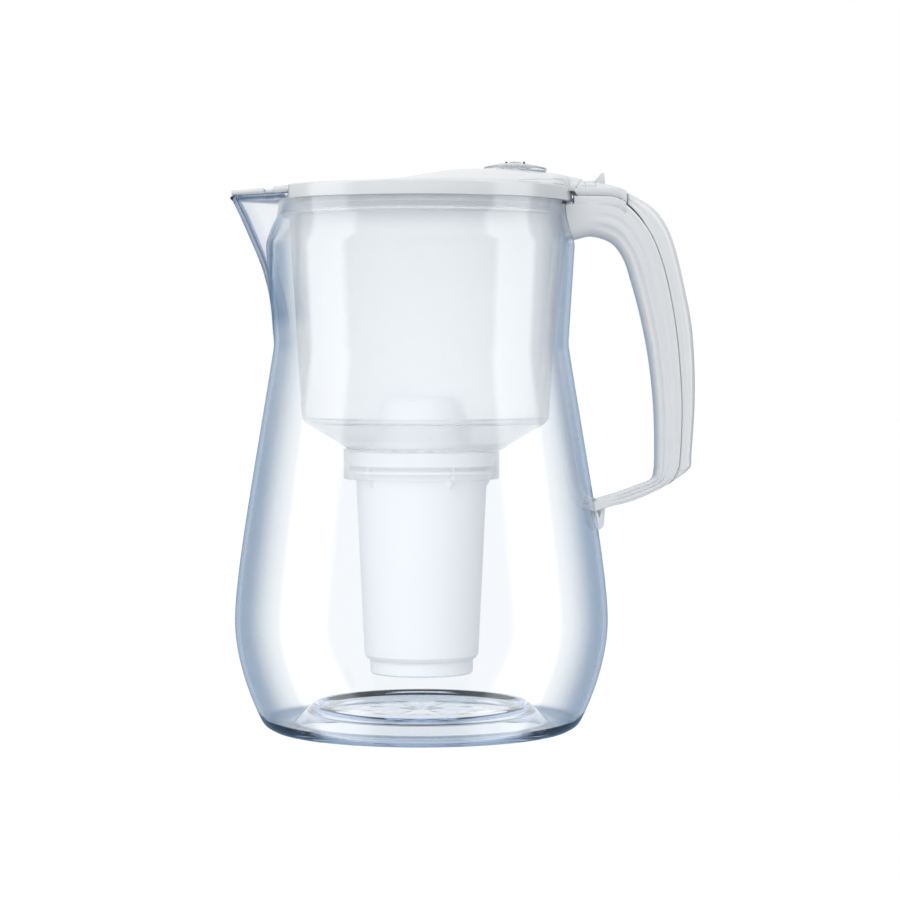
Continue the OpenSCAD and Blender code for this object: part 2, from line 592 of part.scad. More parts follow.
// --- Indicator ------------------------------------------------------------------------
marks = 12;
dial_gap = 0.2;
dial_dome = 2;         // rise of the dial's face from its edge to its middle
module indicator_scale() {
    color([0.85, 0.88, 0.9]) at_dial() difference() {
        union() {
            translate([0, 0, plate_z + 0.1]) cylinder(r = dial_r - 1.2, h = 0.8);
            for (i = [1:marks]) rotate([0, 0, 360 * i / marks])
                translate([dial_r - 3.4, -0.3, plate_z + 0.8]) cube([1.8, 0.6, 0.3]);
        }
        translate([0, 0, -10]) cylinder(r = axle_r + 0.05, h = 20);
    }
}
module indicator_dial() {
    top = dial_gap + dial_t - 0.3;
    color([0.85, 0.92, 0.97, 0.4]) at_dial() difference() {
        union() {
            rotate_extrude() polygon(concat([[0, dial_gap], [dial_r, dial_gap], [dial_r, top - 0.4]],
                [for (i = [0:9]) let (r = (dial_r - 0.4) * (1 - i / 9))
                    [r, top + dial_dome * (1 - pow(r / dial_r, 2))]]));
            translate([0, 0, top + dial_dome - 0.4]) cylinder(r1 = 3.2, r2 = 2.6, h = 0.8);
            for (side = [-1, 1]) translate([side * 4.1 - 0.5, -1.4, top + dial_dome - 0.8]) cube([1, 2.8, 1.4]);
        }
        translate([0, 0, -eps]) cylinder(r = axle_r + pin_fit, h = 3);
        translate([0, 0, dial_gap + 0.9]) cylinder(r = axle_r + 1.1, h = dial_t - 1.3);
    }
}
module indicator_axle() {
    color([0.9, 0.91, 0.92]) at_dial() union() {
        translate([0, 0, plate_z - 2.3 - 1]) cylinder(r = axle_r + 1.2, h = 1);
        translate([0, 0, plate_z - 2.4]) cylinder(r = axle_r, h = 2.4 - plate_z + dial_gap + 1.05);
        translate([0, 0, dial_gap + 1]) cylinder(r = axle_r + 0.9, h = 0.6);
    }
}

// --- Cartridge --------------------------------------------------------------------------
thread_gap = 0.3;
collar_z0 = neck_z - 8.7;
collar_top = neck_z - 2.2;
cup_z0 = cart_bottom_z + cart_base_h;
cart_neck_z = neck_z - neck_len - 2.2;
ledge_t = 1.5;
bed_gap = 0.1;
seal_mid = 31.6;
seal_r = 0.8;
function cup_r(z) = cart_foot_r + (cart_top_r - cart_foot_r) * (z - cup_z0) / (cart_neck_z - cup_z0);
module cartridge_cup() {
    seal_z = collar_top - 0.35;
    color([0.95, 0.96, 0.97]) difference() {
        union() {
            rotate_extrude() polygon([[cart_base_r - 2, cup_z0], [cart_foot_r - 1.4, cup_z0],
                [cart_foot_r, cup_z0 + 1.8], [cart_top_r, cart_neck_z], [cart_top_r + 0.9, collar_z0 - 1.2],
                [neck_r - thread_gap, collar_z0], [neck_r - thread_gap, collar_top],
                [shelf_r - 1.4, collar_top], [shelf_r - 1.4, collar_top - 3.5],
                [cart_top_r - cart_t, cart_neck_z - 1], [cart_foot_r - cart_t, cup_z0 + ledge_t],
                [cart_base_r - 2, cup_z0 + ledge_t]]);
            tube(neck_r - thread_gap - 0.3, cart_top_r - 0.6, collar_z0 - 3.4, collar_z0 - 2.2);
            for (i = [0:rib_count - 1]) rotate([0, 0, -64 + 360 * i / rib_count])
                translate([cart_top_r - 1, 0.5, 0]) rotate([90, 0, 0]) linear_extrude(1)
                    polygon([[0, cart_neck_z - 2], [1.6, cart_neck_z - 1.4], [4, cart_neck_z + 3],
                             [4, collar_z0 + 0.4], [0, collar_z0 + 0.4]]);
        }
        tube(seal_mid + seal_r + 0.1, seal_mid - seal_r - 0.1, seal_z - seal_r - 0.1, collar_top + 2);
    }
}
module cartridge_seal() {
    color([0.55, 0.6, 0.65]) rotate_extrude() translate([seal_mid, collar_top - 0.35])
        circle(r = seal_r, $fn = 32);
}
slot_count = 22;
cap_slot_r = shelf_r - 1.2;
cap_foot_h = 2.2;
module cartridge_cap() {
    t = cart_t;
    z0 = collar_top + bed_gap;
    z1 = z0 + cap_foot_h;
    top = z0 + dome_h;
    shoulder = [[dome_r, z1], [dome_r - 2.4, z1 + 9], [dome_r - 4.6, z1 + 17], [dome_r - 5.4, z1 + 20],
                [dome_r - 7.4, top - 0.8], [dome_r - 11, top]];
    outline = [for (i = [0:15]) through(shoulder, i / 3)];
    color([0.95, 0.96, 0.97]) difference() {
        rotate_extrude() polygon(concat(
            [[shelf_r - 1.5, collar_top - 3.2], [shelf_r - 1.5, z0], [cap_slot_r, z0], [cap_slot_r, z1]],
            outline, [[0, top], [0, top - t]],
            [for (i = [len(outline) - 1:-1:0]) [outline[i][0] - t, outline[i][1] - t * i / 15]],
            [[dome_r - t, z0 - 2], [shelf_r - 1.5 - t, collar_top - 3.2]]));
        for (i = [0:slot_count - 1]) rotate([0, 0, 360 * i / slot_count])
            translate([dome_r - t - 2, -1.7, z0 + 0.6]) cube([10, 3.4, cap_foot_h - 1]);
    }
}
outlet_count = 12;
module cartridge_base() {
    t = cart_t;
    color([0.94, 0.95, 0.96]) difference() {
        rotate_extrude() polygon([[0, cart_bottom_z], [cart_base_r - 0.8, cart_bottom_z],
            [cart_base_r, cart_bottom_z + 0.8], [cart_base_r, cup_z0 - bed_gap],
            [cart_base_r - t, cup_z0 - bed_gap], [cart_base_r - t, cart_bottom_z + t],
            [0, cart_bottom_z + t]]);
        for (i = [1:outlet_count]) rotate([0, 0, 360 * i / outlet_count])
            translate([cart_base_r * 0.66, 0, cart_bottom_z - 1]) cylinder(r = 1.6, h = t + 2, $fn = 24);
    }
}
// Discs and the bed that fill the cup, from the screen on its ledge upwards.
screen_t = 0.6;
pad_t = 3;
bed_z0 = cup_z0 + ledge_t + bed_gap;
bed_top = cart_neck_z - 6;
module cup_fill(z0, z1) {
    translate([0, 0, z0]) cylinder(r1 = cup_r(z0) - cart_t - 0.3, r2 = cup_r(z1) - cart_t - 0.3,
                                   h = z1 - z0);
}
module screen(z) {
    r = cup_r(z) - cart_t - 0.3;
    pitch = 4.2;
    difference() {
        translate([0, 0, z]) cylinder(r = r, h = screen_t);
        for (a = [1:5]) for (k = [1:6 * a]) rotate([0, 0, 60 * k / a])
            translate([a * pitch, 0, z - 1]) cylinder(r = 1.1, h = 3, $fn = 16);
    }
}
module bottom_screen() { color([0.85, 0.87, 0.9]) screen(bed_z0); }
module lower_pad() {
    color([0.88, 0.88, 0.86]) cup_fill(bed_z0 + screen_t + bed_gap, bed_z0 + screen_t + pad_t);
}
module filter_media() {
    color([0.30, 0.30, 0.32]) cup_fill(bed_z0 + screen_t + pad_t + bed_gap, bed_top - bed_gap);
}
module upper_pad() {
    color([0.88, 0.88, 0.86]) cup_fill(bed_top, bed_top + pad_t);
}
module top_screen() { color([0.85, 0.87, 0.9]) screen(bed_top + pad_t + bed_gap); }

jug_body();
handle_front();
handle_rear_cover();
funnel();
lid_frame();
lid_flap();
thumb_lever();
flap_hinge_pin();
spout_flap();
spout_flap_pin();
indicator_scale();
indicator_dial();
indicator_axle();
cartridge_cup();
cartridge_cap();
cartridge_base();
cartridge_seal();
top_screen();
upper_pad();
filter_media();
lower_pad();
bottom_screen();
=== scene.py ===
"""Water filter pitcher with a flip lid: its looks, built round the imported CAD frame.

Lengths in the tables and the surfaces' functions are in mm; piece() turns them into metres.
"""

import math

import bpy
import numpy as np
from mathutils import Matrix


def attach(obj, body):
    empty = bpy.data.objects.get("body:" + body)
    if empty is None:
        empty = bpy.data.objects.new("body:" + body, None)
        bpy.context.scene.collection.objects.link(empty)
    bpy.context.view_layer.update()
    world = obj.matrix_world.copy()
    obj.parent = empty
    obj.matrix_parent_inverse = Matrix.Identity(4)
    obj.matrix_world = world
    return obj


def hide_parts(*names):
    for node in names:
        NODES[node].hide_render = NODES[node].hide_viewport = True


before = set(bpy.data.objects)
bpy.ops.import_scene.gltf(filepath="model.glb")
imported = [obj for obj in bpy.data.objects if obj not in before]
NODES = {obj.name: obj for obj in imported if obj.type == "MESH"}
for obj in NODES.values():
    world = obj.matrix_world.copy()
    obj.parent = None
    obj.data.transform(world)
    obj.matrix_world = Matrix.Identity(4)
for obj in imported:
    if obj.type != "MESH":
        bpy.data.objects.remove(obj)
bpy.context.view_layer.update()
MM = 0.001


# ---------------------------------------------------------------- curves
def bezier(a, b, c, d, count):
    """Cubic Bezier a to d without its last point: s^3 a + 3 s^2 t b + 3 s t^2 c + t^3 d, with s = 1 - t."""
    t = np.arange(count)[:, None] / count
    s = 1 - t
    a, b, c, d = (np.array(p, float) for p in (a, b, c, d))
    return s**3 * a + 3 * s * s * t * b + 3 * s * t * t * c + t**3 * d


def through(stations, u):
    """Smooth curve through the stations at parameters u, one unit per station (Catmull-Rom)."""
    p = np.array(stations, float)
    last = len(p) - 1
    i = np.minimum(np.floor(u).astype(int), last - 1)
    t = u - i
    if p.ndim > 1:
        t = t[:, None]
    a, b, c, d = p[np.maximum(i - 1, 0)], p[i], p[i + 1], p[np.minimum(i + 2, last)]
    cubic = (3 * b - a - 3 * c + d) * t**3
    square = (2 * a - 5 * b + 4 * c - d) * t * t
    return 0.5 * (2 * b + (c - a) * t + square + cubic)


def at(stations, x):
    """Height of stations [x, height] at x, straight between them and carried on past the ends."""
    p = np.array(stations, float)
    i = np.clip(np.searchsorted(p[:, 0], x, side="right") - 1, 0, len(p) - 2)
    t = (x - p[i, 0]) / (p[i + 1, 0] - p[i, 0])
    return p[i, 1] + (p[i + 1, 1] - p[i, 1]) * t


def soft(stations, x, span):
    """at() rounded at its stations: the mean of five points over the span, weighted 1 2 3 2 1."""
    near = 2 * at(stations, x - span / 2) + 2 * at(stations, x + span / 2)
    far = at(stations, x - span) + at(stations, x + span)
    return (far + near + 3 * at(stations, x)) / 9


def larger(a, b, k):
    """Larger of a and b with a fillet of about k where they cross: (a + b + sqrt((a - b)^2 + k^2)) / 2."""
    return (a + b + np.sqrt((a - b) ** 2 + k * k)) / 2


def smaller(a, b, k):
    """Smaller of a and b with the same fillet."""
    return (a + b - np.sqrt((a - b) ** 2 + k * k)) / 2


def step(x):
    """0 below 0, 1 above 1, and 3x^2 - 2x^3 between."""
    x = np.clip(x, 0, 1)
    return x * x * (3 - 2 * x)


def bump(x):
    """A smooth hump: 1 at 0, falling as (1 - x^2)^2 to 0 at 1 and -1."""
    return np.clip(1 - x * x, 0, 1) ** 2


def edge_drop(d, radius):
    """How far a rounded edge lies below its face at distance d from the edge: R - sqrt(R^2 - (R - d)^2)."""
    inward = np.clip(radius - d, 0, radius)
    return radius - np.sqrt(radius * radius - inward * inward)


# ---------------------------------------------------------------- meshes
def grid_faces(rows, columns, around, closed=False):
    """Quads over a grid of rows x columns; around joins the last column to the first, closed the last row."""
    index = np.arange(rows * columns).reshape(rows, columns)
    r = np.arange(rows if closed else rows - 1)
    c = np.arange(columns if around else columns - 1)
    r2 = (r + 1) % rows
    c2 = (c + 1) % columns
    corners = [index[np.ix_(i, j)] for i, j in ((r, c), (r, c2), (r2, c2), (r2, c))]
    return np.stack(corners, -1).reshape(-1, 4)


def piece(name, grids, body, node, material):
    """One shown object made of grids of points, each given as (points, around, closed).

    It stands for the CAD nodes whose names are in node, which may be empty. A grid whose volume comes
    out negative is turned inside out, so that its faces look outwards.
    """
    points = []
    faces = []
    count = 0
    for grid, around, closed in grids:
        rows, columns = grid.shape[:2]
        flat = grid.reshape(-1, 3)
        quads = grid_faces(rows, columns, around, closed)
        p, q, r, t = (flat[quads[:, k]] for k in range(4))
        volume = (p * (np.cross(q, r) + np.cross(r, t))).sum()
        points.append(flat)
        faces.append((quads if volume > 0 else quads[:, ::-1]) + count)
        count += rows * columns
    mesh = bpy.data.meshes.new(name)
    mesh.from_pydata((np.concatenate(points) * MM).tolist(), [], np.concatenate(faces).tolist())
    mesh.polygons.foreach_set("use_smooth", np.ones(len(mesh.polygons), bool))
    mesh.materials.append(material)
    mesh.update()
    thing = bpy.data.objects.new(name, mesh)
    bpy.context.scene.collection.objects.link(thing)
    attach(thing, body)
    if node:
        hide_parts(*node)
    return thing


def tubes(grids):
    """Grids for piece(), with their columns joined round and their ends left as they are."""
    return [(grid, True, False) for grid in grids]


def caps(loops):
    """The grid with each end shrunk to its middle, so that the ends are closed by flat fans.

    A ring 4 % of the way in keeps the fan's shading flat.
    """
    ends = []
    for loop in (loops[:1], loops[-1:]):
        middle = loop.mean(1, keepdims=True)
        ends.append([middle + 0 * loop, loop + 0.04 * (middle - loop)])
    return np.concatenate([*ends[0], loops, *ends[1][::-1]])


def turned(profile, angles):
    """Surface of revolution: profile [[r, z]] turned about Z through the angles."""
    p = np.array(profile, float)
    x = p[:, :1] * np.cos(angles)
    y = p[:, :1] * np.sin(angles)
    return np.stack([x, y, p[:, 1:2] + 0 * x], -1)


def rounded(points, radius, count=4):
    """The polygon [[a, b]] with each corner cut by a small arc of that radius."""
    p = np.array(points, float)
    out = []
    for i in range(len(p)):
        back, here, on = p[i - 1], p[i], p[(i + 1) % len(p)]
        to_back = (back - here) / np.linalg.norm(back - here)
        to_on = (on - here) / np.linalg.norm(on - here)
        reach = min(radius, 0.45 * np.linalg.norm(back - here), 0.45 * np.linalg.norm(on - here))
        for t in np.linspace(0, 1, count):
            out.append(here + reach * ((1 - t) ** 2 * to_back + t**2 * to_on))
    return np.array(out)


# ---------------------------------------------------------------- materials
def node(tree, kind, inputs=(), **settings):
    """A new node with its settings; an input, by name or number, gets a value or a link from an output."""
    n = tree.nodes.new(kind)
    for name, value in settings.items():
        setattr(n, name, value)
    for name, value in dict(inputs).items():
        if isinstance(value, bpy.types.NodeSocket):
            tree.links.new(value, n.inputs[name])
        else:
            n.inputs[name].default_value = value
    return n


def group(name, inputs, outputs):
    """An empty node group with sockets: (name, kind, value) for each input, (name, kind) for each output."""
    tree = bpy.data.node_groups.new(name, "ShaderNodeTree")
    for label, kind, value in inputs:
        tree.interface.new_socket(label, in_out="INPUT", socket_type=kind).default_value = value
    for label, kind in outputs:
        tree.interface.new_socket(label, in_out="OUTPUT", socket_type=kind)
    return tree, tree.nodes.new("NodeGroupInput"), tree.nodes.new("NodeGroupOutput")


def mix_colour(tree, factor, a, b):
    """a turning into b by the factor."""
    return node(tree, "ShaderNodeMix", {0: factor, 6: a, 7: b}, data_type="RGBA").outputs[2]


def maths(tree, operation, *values, **settings):
    """The result of one Math node on the values."""
    return node(tree, "ShaderNodeMath", dict(enumerate(values)), operation=operation, **settings).outputs[0]


def ramp(tree, value, low, high, start=0.0, end=1.0):
    """value from low to high carried smoothly to start to end."""
    given = {0: value, 1: low, 2: high, 3: start, 4: end}
    return node(tree, "ShaderNodeMapRange", given, interpolation_type="SMOOTHSTEP").outputs[0]


SINK_DEPTH, PIT_DEPTH = 0.002, 0.0001  # metres


def moulded_group():
    """Moulded plastic: slow drifts of tone, a fine grain in the gloss, and faint sink marks and pits."""
    tree, given, result = group(
        "moulded",
        [
            ("Light", "NodeSocketColor", (0.9, 0.9, 0.9, 1)),
            ("Shade", "NodeSocketColor", (0.8, 0.8, 0.8, 1)),
            ("Drift", "NodeSocketFloat", 28.0),
            ("Grain", "NodeSocketFloat", 900.0),
            ("Rough low", "NodeSocketFloat", 0.2),
            ("Rough high", "NodeSocketFloat", 0.3),
            ("Relief", "NodeSocketFloat", 0.1),
            ("Pits", "NodeSocketFloat", 0.1),
        ],
        [("Colour", "NodeSocketColor"), ("Roughness", "NodeSocketFloat"), ("Normal", "NodeSocketVector")],
    )
    place = tree.nodes.new("ShaderNodeTexCoord").outputs["Object"]
    given = given.outputs
    drift = node(tree, "ShaderNodeTexNoise", {"Vector": place, "Scale": given["Drift"], "Detail": 2.0})
    grain = node(tree, "ShaderNodeTexNoise", {"Vector": place, "Scale": given["Grain"], "Detail": 3.0})
    drift, grain = drift.outputs["Fac"], grain.outputs["Fac"]
    colour = mix_colour(tree, drift, given["Light"], given["Shade"])
    rough = node(tree, "ShaderNodeMapRange", {0: grain, 3: given["Rough low"], 4: given["Rough high"]})
    sunk = {"Strength": given["Relief"], "Height": drift, "Distance": SINK_DEPTH}
    sunk = node(tree, "ShaderNodeBump", sunk).outputs["Normal"]
    fine = {"Strength": given["Pits"], "Height": grain, "Distance": PIT_DEPTH, "Normal": sunk}
    fine = node(tree, "ShaderNodeBump", fine)
    tree.links.new(colour, result.inputs["Colour"])
    tree.links.new(rough.outputs[0], result.inputs["Roughness"])
    tree.links.new(fine.outputs["Normal"], result.inputs["Normal"])
    return tree


MOULDED = moulded_group()


def plastic(name, light, shade, rough, relief=0.05, pits=0.05, drift=28.0, grain=900.0, **values):
    """A material: colour, gloss and relief from the moulded group; values set the shader's own sockets."""
    m = bpy.data.materials.new(name)
    m.use_nodes = True
    tree = m.node_tree
    shader = tree.nodes["Principled BSDF"]
    settings = {"Light": (*light, 1), "Shade": (*shade, 1), "Rough low": rough[0], "Rough high": rough[1]}
    settings.update({"Relief": relief, "Pits": pits, "Drift": drift, "Grain": grain})
    look = node(tree, "ShaderNodeGroup", settings, node_tree=MOULDED)
    tree.links.new(look.outputs["Colour"], shader.inputs["Base Color"])
    tree.links.new(look.outputs["Roughness"], shader.inputs["Roughness"])
    tree.links.new(look.outputs["Normal"], shader.inputs["Normal"])
    for label, value in values.items():
        shader.inputs[label.replace("_", " ")].default_value = value
    return m


def clear(m, through_tint, absorbed=None, density=0.0):
    """Lets shadow rays and light between matt surfaces pass a see-through material, and tints its depth."""
    tree = m.node_tree
    shader = tree.nodes["Principled BSDF"]
    out = tree.nodes["Material Output"]
    path = tree.nodes.new("ShaderNodeLightPath").outputs
    passing = maths(tree, "MAXIMUM", path["Is Shadow Ray"], path["Is Diffuse Ray"])
    veil = node(tree, "ShaderNodeBsdfTransparent", {"Color": (*through_tint, 1)})
    both = node(tree, "ShaderNodeMixShader", {0: passing, 1: shader.outputs[0], 2: veil.outputs[0]})
    tree.links.new(both.outputs[0], out.inputs["Surface"])
    if absorbed:
        depth = node(tree, "ShaderNodeVolumeAbsorption", {"Color": (*absorbed, 1), "Density": density})
        tree.links.new(depth.outputs[0], out.inputs["Volume"])
    return m


def paint_edge_reflection_and_shade(m, colour, thick_shade, start, end):
    """Paints clear plastic darker where its wall is seen edge-on: a painted reflection of the dark room,
    deeper than the wall's own tint. By the size of its depth attribute it paints shade towards the second
    colour.

    Facing from start to end brings in the first colour. A depth from 0 down to -0.1 takes that painted
    reflection away, on surfaces that light crosses many times.
    """
    tree = m.node_tree
    base = tree.nodes["Principled BSDF"].inputs["Base Color"]
    plain = base.links[0].from_socket
    slope = node(tree, "ShaderNodeLayerWeight", {"Blend": 0.5}).outputs["Facing"]
    # The depth attribute holds the painted shade on thick edges; only the jug has it.
    depth = node(tree, "ShaderNodeAttribute", attribute_name="depth").outputs["Fac"]
    kept = maths(tree, "MULTIPLY_ADD", depth, 10.0, 1.0, use_clamp=True)
    # Painted reflection: the facing mask, strongest where the wall is seen edge-on.
    edge = maths(tree, "MULTIPLY", ramp(tree, slope, start, end), kept)
    edge_reflection = mix_colour(tree, edge, plain, (*colour, 1))
    # Painted shade on thick edges, mixed in by the size of the depth attribute.
    tree.links.new(mix_colour(tree, maths(tree, "ABSOLUTE", depth), edge_reflection, (*thick_shade, 1)), base)


CLEAR_JUG = clear(
    plastic("clear_jug", (0.995, 0.998, 1.0), (0.98, 0.99, 1.0), (0.01, 0.03), relief=0.0, pits=0.0,
            drift=18.0, IOR=1.49, Transmission_Weight=1.0),
    (0.985, 0.99, 0.997), (0.50, 0.73, 0.96), 16.0,
)
# Painted reflection of the dark room in steel blue where the jug's wall is seen edge-on, and painted navy
# shade on its thick edges.
paint_edge_reflection_and_shade(CLEAR_JUG, (0.35, 0.425, 0.52), (0.22, 0.31, 0.44), 0.34, 0.70)
FROSTED = clear(
    plastic("frosted_clear", (1.0, 1.0, 1.0), (0.985, 0.988, 0.99), (0.20, 0.26), relief=0.003, pits=0.0,
            drift=30.0, IOR=1.42, Transmission_Weight=0.82),
    (0.965, 0.97, 0.975),
)
CLEAR_DIAL = clear(
    plastic("clear_dial", (0.985, 0.992, 1.0), (0.96, 0.975, 0.99), (0.02, 0.05), relief=0.004, pits=0.0,
            IOR=1.49, Transmission_Weight=1.0),
    (0.98, 0.985, 0.99),
)
# Painted reflection: grey where the dial's clear disc is seen edge-on. The dial has no depth attribute, so
# its second colour never shows.
paint_edge_reflection_and_shade(CLEAR_DIAL, (0.66, 0.70, 0.76), (0.5, 0.55, 0.62), 0.8, 0.98)
WHITE_GLOSS = plastic("white_gloss", (0.66, 0.675, 0.69), (0.64, 0.655, 0.67), (0.14, 0.20), relief=0.02)
WHITE_SATIN = plastic("white_satin", (0.65, 0.665, 0.68), (0.63, 0.645, 0.66), (0.20, 0.28), relief=0.02)
CARTRIDGE = plastic("cartridge_white", (0.93, 0.93, 0.935), (0.91, 0.91, 0.915), (0.40, 0.50), relief=0.03,
                    Specular_IOR_Level=0.2)
SCALE = plastic("scale_plate", (0.44, 0.47, 0.51), (0.36, 0.39, 0.44), (0.3, 0.4), relief=0.04)
INK = plastic("dark_ink", (0.045, 0.075, 0.13), (0.035, 0.06, 0.11), (0.3, 0.4), relief=0.02)
RUBBER = plastic("seal_rubber", (0.62, 0.64, 0.66), (0.55, 0.57, 0.60), (0.5, 0.65), relief=0.12, pits=0.2)
FELT = plastic("felt", (0.82, 0.82, 0.80), (0.70, 0.70, 0.68), (0.8, 0.95), relief=0.6, pits=0.6,
               drift=700, grain=2600)
MEDIA = plastic("media", (0.16, 0.16, 0.17), (0.04, 0.04, 0.045), (0.6, 0.9), relief=0.9, pits=0.9,
                drift=900, grain=2400)
SLOT_MATERIALS = {
    "white_gloss": WHITE_GLOSS, "white_satin": WHITE_SATIN, "cartridge_white": CARTRIDGE,
    "clear_jug": CLEAR_JUG, "frosted_clear": FROSTED, "clear_dial": CLEAR_DIAL, "scale_plate": SCALE,
    "seal_rubber": RUBBER, "felt": FELT, "media": MEDIA,
}
for shown in NODES.values():
    for place, old in enumerate(shown.data.materials):
        name = old.name.split(".")[0] if old else "white_satin"
        shown.data.materials[place] = SLOT_MATERIALS.get(name, WHITE_SATIN)


# ---------------------------------------------------------------- jug
FOOT_R, BELLY_R, BELLY_Z, WAIST_R, WAIST_Z = 70.0, 89.5, 52.0, 70.4, 184.0
SHOULDER, MOUTH_R, MOUTH_Z, RIM_Z, WALL = (73.4, 232.0), 70.0, 245.5, 254.8, 2.2
LIP_X, LIP_BACK, SPOUT_Z, LIP_FOOT = 91.4, 3.5, 255.2, 189.0
FRONT_THICK = 1.6
UNDER_Z, FLOOR_Z, BOSS_DEPTH, BOSS_HALF, PETAL_H, BEAD = 7.1, 9.3, 2.6, 7.4, 0.35, 0.7
LIP_LINE = [[188, 70.1], [200, 71.2], [210, 73.2], [220, 76], [227, 78.7], [234, 81.8], [246, 87],
            [251, 89.6], [255.2, 91.4]]
SIDE = np.concatenate([
    bezier([FOOT_R, 0], [FOOT_R + 4, 0], [FOOT_R + 6, 2.6], [FOOT_R + 7.2, 5], 7),
    bezier([FOOT_R + 7.2, 5], [FOOT_R + 12, 14.6], [BELLY_R, BELLY_Z * 0.65], [BELLY_R, BELLY_Z], 24),
    bezier([BELLY_R, BELLY_Z], [BELLY_R, BELLY_Z + 24],
           [WAIST_R + 6.8, WAIST_Z - 44], [WAIST_R, WAIST_Z], 50),
    [[WAIST_R, WAIST_Z], [SHOULDER[0], SHOULDER[1]], [MOUTH_R, MOUTH_Z], [MOUTH_R, RIM_Z + 10]],
])


def side_r(z):
    """Outer radius of the jug's side at height z, its waist, shoulder and mouth softened."""
    reach = lambda h: np.interp(h, SIDE[:, 1], SIDE[:, 0])
    return (reach(z - 0.9) + reach(z) + reach(z + 0.9)) / 3


def jug_edge(turn, z, inward):
    """Distance of the wall from the axis: the larger of the round side and the spout's V, both moved inward.

    turn is the angle from the spout. The V is |y| <= x + lip + LIP_BACK, its blunt front is x >= -lip, and
    past 45 degrees it sinks into the round side. The front is FRONT_THICK walls thick.
    """
    lip = soft(LIP_LINE, np.minimum(z, SPOUT_Z - 1.2), 2.4)
    lip = lip + np.maximum(0, z - SPOUT_Z + 1.2) * 0.1 - np.maximum(0, LIP_FOOT - z) * 0.6
    off = np.arccos(np.cos(turn))
    ahead = np.maximum(np.cos(turn), 0.05)
    lean = np.where(off < math.pi / 4, np.sin(off) + ahead, math.sqrt(2) * (1 + off - math.pi / 4))
    flank = (lip + LIP_BACK - inward * math.sqrt(2)) / lean
    front = (lip - inward * FRONT_THICK) / ahead
    return larger(side_r(z) - inward, smaller(flank, front, 0.8), 1.1)


def jug_rows():
    """Rows of the jug's skin, each (kind, a, b), from under its middle over foot and rim to its floor.

    A "disc" row is a plain circle (radius, height); a "wall" row is (distance inward, height).
    """
    under = [(r, UNDER_Z) for r in (0.02, 12, 24, 36, 47.4)] + [(48.2, 7.3), (50, 8.3), (50.8, 8.3)]
    under += [(53, 6.4), (56, 3.7), (59.4, 0.5), (60.2, 0.05), (61, 0), (65, 0), (69.4, 0)]
    rows = [("disc", r, z) for r, z in under]
    rows += [("wall", 0, z) for z in SIDE[1:7, 1]]
    rows += [("wall", 0, z) for z in np.linspace(5.4, 186, 62)]
    rows += [("wall", 0, z) for z in np.linspace(188, 244, 40)]
    rows += [("wall", 0, z) for z in np.linspace(245, RIM_Z - 0.9, 15)]
    rows += [("wall", 0.12, RIM_Z - 0.4), ("wall", 0.5, RIM_Z - 0.08), ("wall", WALL / 2, RIM_Z)]
    rows += [("wall", WALL - 0.5, RIM_Z - 0.08), ("wall", WALL - 0.12, RIM_Z - 0.4)]
    rows += [("wall", WALL, z) for z in np.linspace(RIM_Z - 0.9, 245, 6)]
    rows += [("wall", WALL, z) for z in np.linspace(244, 188, 38)]
    rows += [("wall", WALL, z) for z in np.linspace(186, 7, 60)]
    rows += [("wall", WALL + 0.3, 5.2), ("wall", WALL + 1.4, 3.9)]
    inner = [(69.5, 3.3), (66, 3.3), (62, 3.3), (61.0, 3.5), (60.2, 4.1), (57, 7.2), (54, 10.1), (52.2, 11.9)]
    inner += [(51.4, 12.4), (50.6, 12.5), (49.9, 12.4), (49.4, 12.0), (49.0, 9.8), (48.6, 9.35)]
    inner += [(r, FLOOR_Z) for r in (47.8, 44, 38, 32, 27, 25, 23.4, 21, 18, 15, 12, 9, 6.5, 5.2, 3, 0.02)]
    return rows + [("disc", r, z) for r, z in inner]


def jug_turns():
    """Angles from the spout: close together over the spout and at the tail's boss, wider elsewhere."""
    front = np.arange(-60, 60, 0.6)
    back = np.concatenate([np.arange(60, 172, 1.6), np.arange(172, 188, 0.8), np.arange(188, 300, 1.6)])
    return np.radians(np.concatenate([front, back]))


def jug_grid():
    """The jug's skin.

    The spout's rim rises from RIM_Z to SPOUT_Z about x = -62 and has a bead BEAD proud and 3 tall. Behind
    the tail the wall is BOSS_DEPTH thicker. The floor carries a flower of eight petals, cos(4 a)^2 of PETAL_H
    within r 5 to 25.
    """
    turn = jug_turns()
    top = jug_edge(turn, np.full_like(turn, 252.0), 0.0) * np.cos(turn)
    lift = (SPOUT_Z - RIM_Z) * step((top - 61.2) / 1.6)
    rows = []
    for kind, a, b in jug_rows():
        if kind == "disc":
            r = np.full_like(turn, a)
            petal = PETAL_H * np.cos(4 * turn) ** 2 * step((a - 4) / 3) * step((26 - a) / 3)
            z = b + petal * (b == FLOOR_Z and a < 27)
        else:
            z = b + lift * step((b - 240) / 14.8)
            r = jug_edge(turn, z, a)
            behind = np.abs((turn - math.pi) * r)
            boss = step((BOSS_HALF - behind) / 0.8) * step((z - 96.6) / 0.8) * step((110.4 - z) / 0.8)
            bead = BEAD * bump((z - SPOUT_Z + 1.4) / 1.5) * lift / (SPOUT_Z - RIM_Z)
            r = r - BOSS_DEPTH * boss * (a >= WALL) + bead * (a < 1)
        rows.append(np.stack([-r * np.cos(turn), -r * np.sin(turn), z + 0 * turn], -1))
    return np.array(rows)


